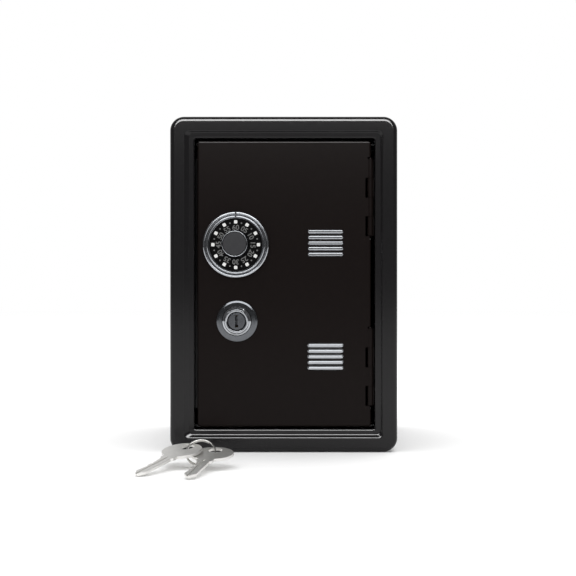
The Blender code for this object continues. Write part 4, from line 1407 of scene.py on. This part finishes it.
@dataclass
class CamLock:
    """The collar, the housing, the plug and its wafers, and the cam."""

    stock: Stock
    barrel: float = 6.0 * MM
    bore: float = 5.05 * MM
    rim: float = 6.6 * MM
    gap: float = 0.3 * MM
    wafers: int = 4
    dome: Outline = ((0.72, 0.0), (0.90, 0.22 * MM), (0.985, 0.55 * MM))  # radius share, drop
    collar_foot: float = 0.1 * MM
    collar_round: float = 0.6 * MM
    collar_steps: int = 6
    mouth: float = 0.3 * MM  # the chamfer round the plug
    rim_ease: float = 0.4 * MM
    rim_taper: float = 0.1 * MM
    rim_height: float = 0.9 * MM
    shoulder: float = 0.4 * MM
    shoulder_top: float = 1.4 * MM  # both measured down from the head's top
    shoulder_foot: float = 2.0 * MM
    head_round: float = 0.3 * MM
    head_steps: int = 5
    plug_edge: float = 0.08 * MM
    hardware_edge: float = 0.12 * MM
    wafer_edge: float = 0.06 * MM

    def height(self, y: float) -> float:
        """How far a depth stands out of the door's face."""
        return joint_place("lock_turn").y - y

    def collar(self) -> bpy.types.Mesh:
        """The domed collar between the housing's head and the door."""
        low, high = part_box("lock_escutcheon")
        radius = (high.x - low.x) / 2
        top = self.height(low.y)
        foot = self.height(high.y)
        hole = self.barrel + self.gap
        profile = [(hole, top)]
        profile += [(radius * share, top - drop) for share, drop in self.dome]
        profile += [
            (radius, foot + self.collar_foot),
            (radius - self.collar_foot, foot),
            (hole, foot),
        ]
        rounded = eased(profile, self.collar_round, closed=True, steps=self.collar_steps)
        return lathe("collar", rounded, closed=True)

    def housing(self) -> bpy.types.Mesh:
        """The housing: a stepped head outside the door and a barrel through it."""
        low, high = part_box("lock_housing")
        radius = (high.x - low.x) / 2
        top = self.height(low.y)
        end = self.height(high.y)
        seat = self.height(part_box("lock_escutcheon")[0].y) + self.gap
        profile = [
            (self.bore, top - self.mouth),
            (self.bore + self.mouth, top),
            (self.rim - self.rim_ease, top),
            (self.rim, top - self.rim_ease),
            (self.rim + self.rim_taper, top - self.rim_height),
            (radius - self.shoulder, top - self.shoulder_top),
            (radius, top - self.shoulder_foot),
            (radius, seat),
            (self.barrel, seat),
            (self.barrel, end),
            (self.bore, end),
        ]
        rounded = eased(profile, self.head_round, closed=True, steps=self.head_steps)
        return lathe("housing", rounded, closed=True)

    def build(self) -> None:
        """Adds the lock's pieces."""
        place = facing_front(joint_place("lock_turn"))
        stock = self.stock
        collar, housing = self.collar(), self.housing()
        collar.transform(place)
        housing.transform(place)
        # the collar and plug take the chrome darkened as painted shade
        show("lock_collar", collar, stock.shade_darkened_chrome, Body.DOOR, Slot.CHROME, "lock_escutcheon")
        show("lock_body", housing, stock.chrome, Body.DOOR, Slot.CHROME, "lock_housing")
        plug = polished("lock_plug", copy_of_node("lock_plug"), self.plug_edge)
        show("lock_barrel", plug, stock.shade_darkened_chrome, Body.LOCK, Slot.CHROME, "lock_plug")
        for node, body in (
            ("lock_nut", Body.DOOR),
            ("lock_cam", Body.LOCK),
            ("cam_washer", Body.LOCK),
            ("cam_screw", Body.LOCK),
        ):
            mesh = polished(node, copy_of_node(node), self.hardware_edge)
            show(f"{node}_plated", mesh, stock.zinc, body, Slot.ZINC, node)
        for index in range(1, self.wafers + 1):
            node = f"lock_wafer_{index}"
            mesh = polished(node, copy_of_node(node), self.wafer_edge)
            show(f"brass_wafer_{index}", mesh, stock.brass, Body.LOCK, Slot.BRASS, node)


# ---------------------------------------------------------------- keys


@dataclass
class SplitRing:
    """Two turns of spring wire, wound side by side."""

    stock: Stock
    radius: float = 7.2 * MM
    wire: float = 0.4 * MM
    pitch: float = 0.9 * MM
    turns: float = 1.9
    start: float = math.radians(60)
    lean: float = math.radians(48)
    steps: int = 72  # in each turn

    def build(self) -> None:
        """Adds the ring."""
        centre = middle("key_ring")
        sideways = Vector((1.0, 0.0, 0.0))
        upward = Vector((0.0, math.cos(self.lean), math.sin(self.lean)))
        through = sideways.cross(upward)
        curve = bpy.data.curves.new("split_ring", "CURVE")
        curve.dimensions = "3D"
        curve.bevel_depth = self.wire
        curve.bevel_resolution = 4
        curve.use_fill_caps = True
        spline = curve.splines.new("POLY")
        count = round(self.steps * self.turns)
        spline.points.add(count)
        for step, point in enumerate(spline.points):
            wound = math.tau * self.turns * step / count
            turn = self.start + wound
            across = (wound / math.tau - self.turns / 2) * self.pitch
            spot = centre + across * through
            spot += self.radius * (math.cos(turn) * sideways + math.sin(turn) * upward)
            point.co = (*spot, 1.0)
        mesh = evaluated(linked("split_ring", curve))
        bpy.data.curves.remove(curve)
        bm = bmesh.new()
        bm.from_mesh(mesh)
        show("split_ring", mesh_of("split_ring", bm), self.stock.wire, Body.RING, Slot.ZINC, "key_ring")


@dataclass
class FlatKey:
    """A blanked key: a round bow, a collar, and a grooved blade with its cuts."""

    stock: Stock
    name: str
    body: Body
    joint: str
    heading: float  # of the blade, in plan
    slope: float  # down to the tip
    thickness: float = 1.4 * MM
    blade: float = 6.2 * MM
    length: float = 41.6 * MM
    bow_length: float = 18.4 * MM
    bow_width: float = 21.4 * MM
    hole: float = 3.5 * MM
    hole_inset: float = 4.9 * MM
    collar: float = 3.0 * MM
    collar_extra: float = 1.1 * MM
    cuts: tuple[float, ...] = (0.9 * MM, 1.7 * MM, 0.6 * MM, 1.3 * MM)
    first_cut: float = 4.8 * MM
    cut_pitch: float = 2.0 * MM
    groove_width: float = 0.8 * MM
    groove_depth: float = 0.4 * MM
    edge: float = 0.16 * MM
    tip_ease: float = 0.2 * MM
    corner_round: float = 0.35 * MM
    bow_steps: int = 72
    hole_steps: int = 48

    def outline(self) -> Outline:
        """The key drawn flat, with its hole at the origin and its blade along +X."""
        centre = self.bow_length / 2 - self.hole_inset
        tip = self.length - self.hole_inset
        half = self.blade / 2
        side = half + self.collar_extra
        meet = math.degrees(math.asin(side / (self.bow_width / 2)))
        bow = arc((0.0, 0.0), 1.0, meet, 4 * QUARTER - meet, self.bow_steps)
        points = [(centre + x * self.bow_length / 2, y * self.bow_width / 2) for x, y in bow]
        end = centre + self.bow_length / 2 + self.collar
        blade = [(end - self.collar_extra, -side), (end, -half)]
        for index, depth in enumerate(self.cuts):
            x = end + self.first_cut + index * self.cut_pitch
            blade += [(x - self.cut_pitch / 6, depth - half), (x + self.cut_pitch / 6, depth - half)]
            if index < len(self.cuts) - 1:
                peak = min(depth, self.cuts[index + 1]) / 2
                blade.append((x + self.cut_pitch / 2, peak - half))
        blade += [(tip - half, self.tip_ease - half), (tip, -half / 4)]
        blade += [(tip, half / 4), (tip - half, half)]
        blade += [(end, half), (end - self.collar_extra, side)]
        return points + eased([points[-1], *blade, points[0]], self.corner_round)[1:-1]

    def build(self) -> None:
        """Adds the key."""
        outlines = [self.outline(), circle(self.hole, self.hole_steps)]
        flat = plate(self.name, outlines, self.thickness, self.edge)
        start = self.bow_length - self.hole_inset + self.collar / 3
        grooves = []
        for face in (-1, 1):
            floor = face * (self.thickness / 2 - self.groove_depth)
            low, high = sorted((floor, face * self.thickness))
            width = self.groove_width / 2
            groove = box_solid(f"groove_{face}", (start, -width, low), (self.length, width, high))
            grooves.append((Fusing.CUT, groove))
        mesh = polished(self.name, carved(self.name, flat, grooves), crease=FINE_CREASE)
        mesh.transform(
            Matrix.Translation(joint_place(self.joint))
            @ Matrix.Rotation(self.heading, 4, "Z")
            @ Matrix.Rotation(self.slope, 4, "Y")
        )
        show(f"flat_{self.name}", mesh, self.stock.nickel, self.body, Slot.NICKEL, self.name)


# Each key's body, its joint, and its blade's heading and slope in degrees.
KEYS = ((Body.KEY_1, "key_1_tilt", -125, 11.5), (Body.KEY_2, "key_2_turn", -106, 8.6))


# ---------------------------------------------------------------- studio


@dataclass
class Studio:
    """The floor, the soft lights, the surroundings and the camera."""

    stock: Stock
    floor_size: float = 6.0
    camera_place: tuple[float, float, float] = (0.0023, -0.546, 0.0880)
    lens: float = 58.0  # millimetres, on a sensor 36 millimetres wide
    room_grey: float = 0.16  # how bright mirrors see the room in front
    aim_height: float = 0.09  # of the point that the lights face
    sensor: float = 36.0
    nearest: float = 0.01
    behind: tuple[float, float] = (-0.1, 0.7)  # how far back the room turns from dark to white
    overhead_place: tuple[float, float, float] = (0.0, 0.05, 1.0)
    overhead_size: tuple[float, float] = (1.3, 0.7)
    overhead_power: float = 5.0
    front_place: tuple[float, float, float] = (0.0, -0.85, 0.72)
    front_size: tuple[float, float] = (1.0, 0.62)
    enamel_power: float = 60.0  # enamel mirrors far less of a light than metal does
    metal_power: float = 9.0

    def floor(self) -> None:
        """Lays the pale floor."""
        half = self.floor_size / 2
        bm = bmesh.new()
        bmesh.ops.create_grid(bm, x_segments=1, y_segments=1, size=half)
        ground = linked("floor", mesh_of("floor", bm))
        ground.data.materials.append(self.stock.floor)

    def soft_light(
        self,
        name: str,
        place: tuple[float, float, float],
        size: tuple[float, float],
        power: float,
        lit: Sequence[bpy.types.Object] = (),
    ) -> None:
        """Hangs a soft light.

        Args:
            name: The light's name.
            place: Where it hangs.
            size: Its width and height.
            power: Its power in watts.
            lit: The pieces that mirror it, which it adds nothing else to. With none, it lights
                everything and no piece mirrors it.
        """
        data = bpy.data.lights.new(name, "AREA")
        data.shape = "RECTANGLE"
        data.size, data.size_y = size
        data.energy = power
        lamp = linked(name, data)
        lamp.location = place
        towards = Vector((0.0, 0.0, self.aim_height)) - Vector(place)
        lamp.rotation_euler = towards.to_track_quat("-Z", "Y").to_euler()
        lamp.visible_camera = False
        lamp.visible_glossy = bool(lit)
        lamp.visible_diffuse = not lit
        if lit:
            shown = bpy.data.collections.new(f"{name}_shows_in")
            for piece in lit:
                shown.objects.link(piece)
            lamp.light_linking.receiver_collection = shown

    def surroundings(self) -> None:
        """A white backdrop all round, of which mirrors see the part behind the object only.

        The room in front of the object is dark to them.
        """
        world = bpy.data.worlds.new("studio")
        world.use_nodes = True
        world.cycles.sampling_method = "NONE"  # so that every ray finds its own surroundings
        tree = world.node_tree
        tree.nodes.clear()
        ray = add_node(tree, "ShaderNodeLightPath")
        backdrop = add_node(tree, "ShaderNodeBackground", inputs={"Color": (1.0, 1.0, 1.0, 1.0)})
        direction = add_node(tree, "ShaderNodeTexCoord").outputs["Generated"]
        parts = add_node(tree, "ShaderNodeSeparateXYZ", links={"Vector": direction})
        brightness = add_node(
            tree,
            "ShaderNodeMapRange",
            inputs={
                "From Min": self.behind[0],
                "From Max": self.behind[1],
                "To Min": self.room_grey,
                "To Max": 1.0,
            },
            links={"Value": parts.outputs["Y"]},
        )
        room = add_node(
            tree, "ShaderNodeBackground", links={"Strength": brightness.outputs["Result"]}
        )
        both = add_node(
            tree,
            "ShaderNodeMixShader",
            links={
                0: ray.outputs["Is Glossy Ray"],
                1: backdrop.outputs["Background"],
                2: room.outputs["Background"],
            },
        )
        add_node(tree, "ShaderNodeOutputWorld", links={"Surface": both.outputs["Shader"]})
        bpy.context.scene.world = world

    def camera(self) -> None:
        """Sets up the camera, level and straight in front."""
        data = bpy.data.cameras.new("camera")
        data.lens = self.lens
        data.sensor_width = self.sensor
        data.clip_start = self.nearest
        eye = linked("camera", data)
        eye.location = self.camera_place
        eye.rotation_euler = (math.radians(QUARTER), 0.0, 0.0)
        bpy.context.scene.camera = eye

    def made_of(self, *materials: bpy.types.Material) -> list[bpy.types.Object]:
        """The pieces with any of the given materials."""
        pieces = [piece for piece in bpy.context.scene.objects if piece.type == "MESH"]
        return [piece for piece in pieces if piece.active_material in materials]

    def build(self) -> None:
        """Sets up the studio, round the finished pieces."""
        bpy.context.scene.view_settings.view_transform = "Standard"
        stock = self.stock
        enamelled = self.made_of(stock.door_shaded_enamel_copy, stock.frame_enamel)
        bright = self.made_of(
            stock.chrome, stock.shade_darkened_chrome, stock.abs, stock.cap, stock.zinc, stock.wire, stock.nickel
        )
        front = (self.front_place, self.front_size)
        self.floor()
        self.soft_light("overhead", self.overhead_place, self.overhead_size, self.overhead_power)
        self.soft_light("enamel_light", *front, self.enamel_power, enamelled)
        self.soft_light("metal_light", *front, self.metal_power, bright)
        self.surroundings()
        self.camera()


def main() -> None:
    """Builds every piece."""
    logging.basicConfig(level=logging.INFO, format="%(name)s: %(message)s")
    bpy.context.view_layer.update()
    stock = Stock()
    repeat = repeating_tree()
    Cabinet(stock).build()
    FrontFrame(stock).build()
    Door(stock, repeat).build()
    Dial(stock, repeat).build()
    CamLock(stock).build()
    SplitRing(stock).build()
    for body, joint, heading, slope in KEYS:
        FlatKey(stock, body.value, body, joint, math.radians(heading), math.radians(slope)).build()
    Studio(stock).build()


if __name__ == "__main__":
    main()
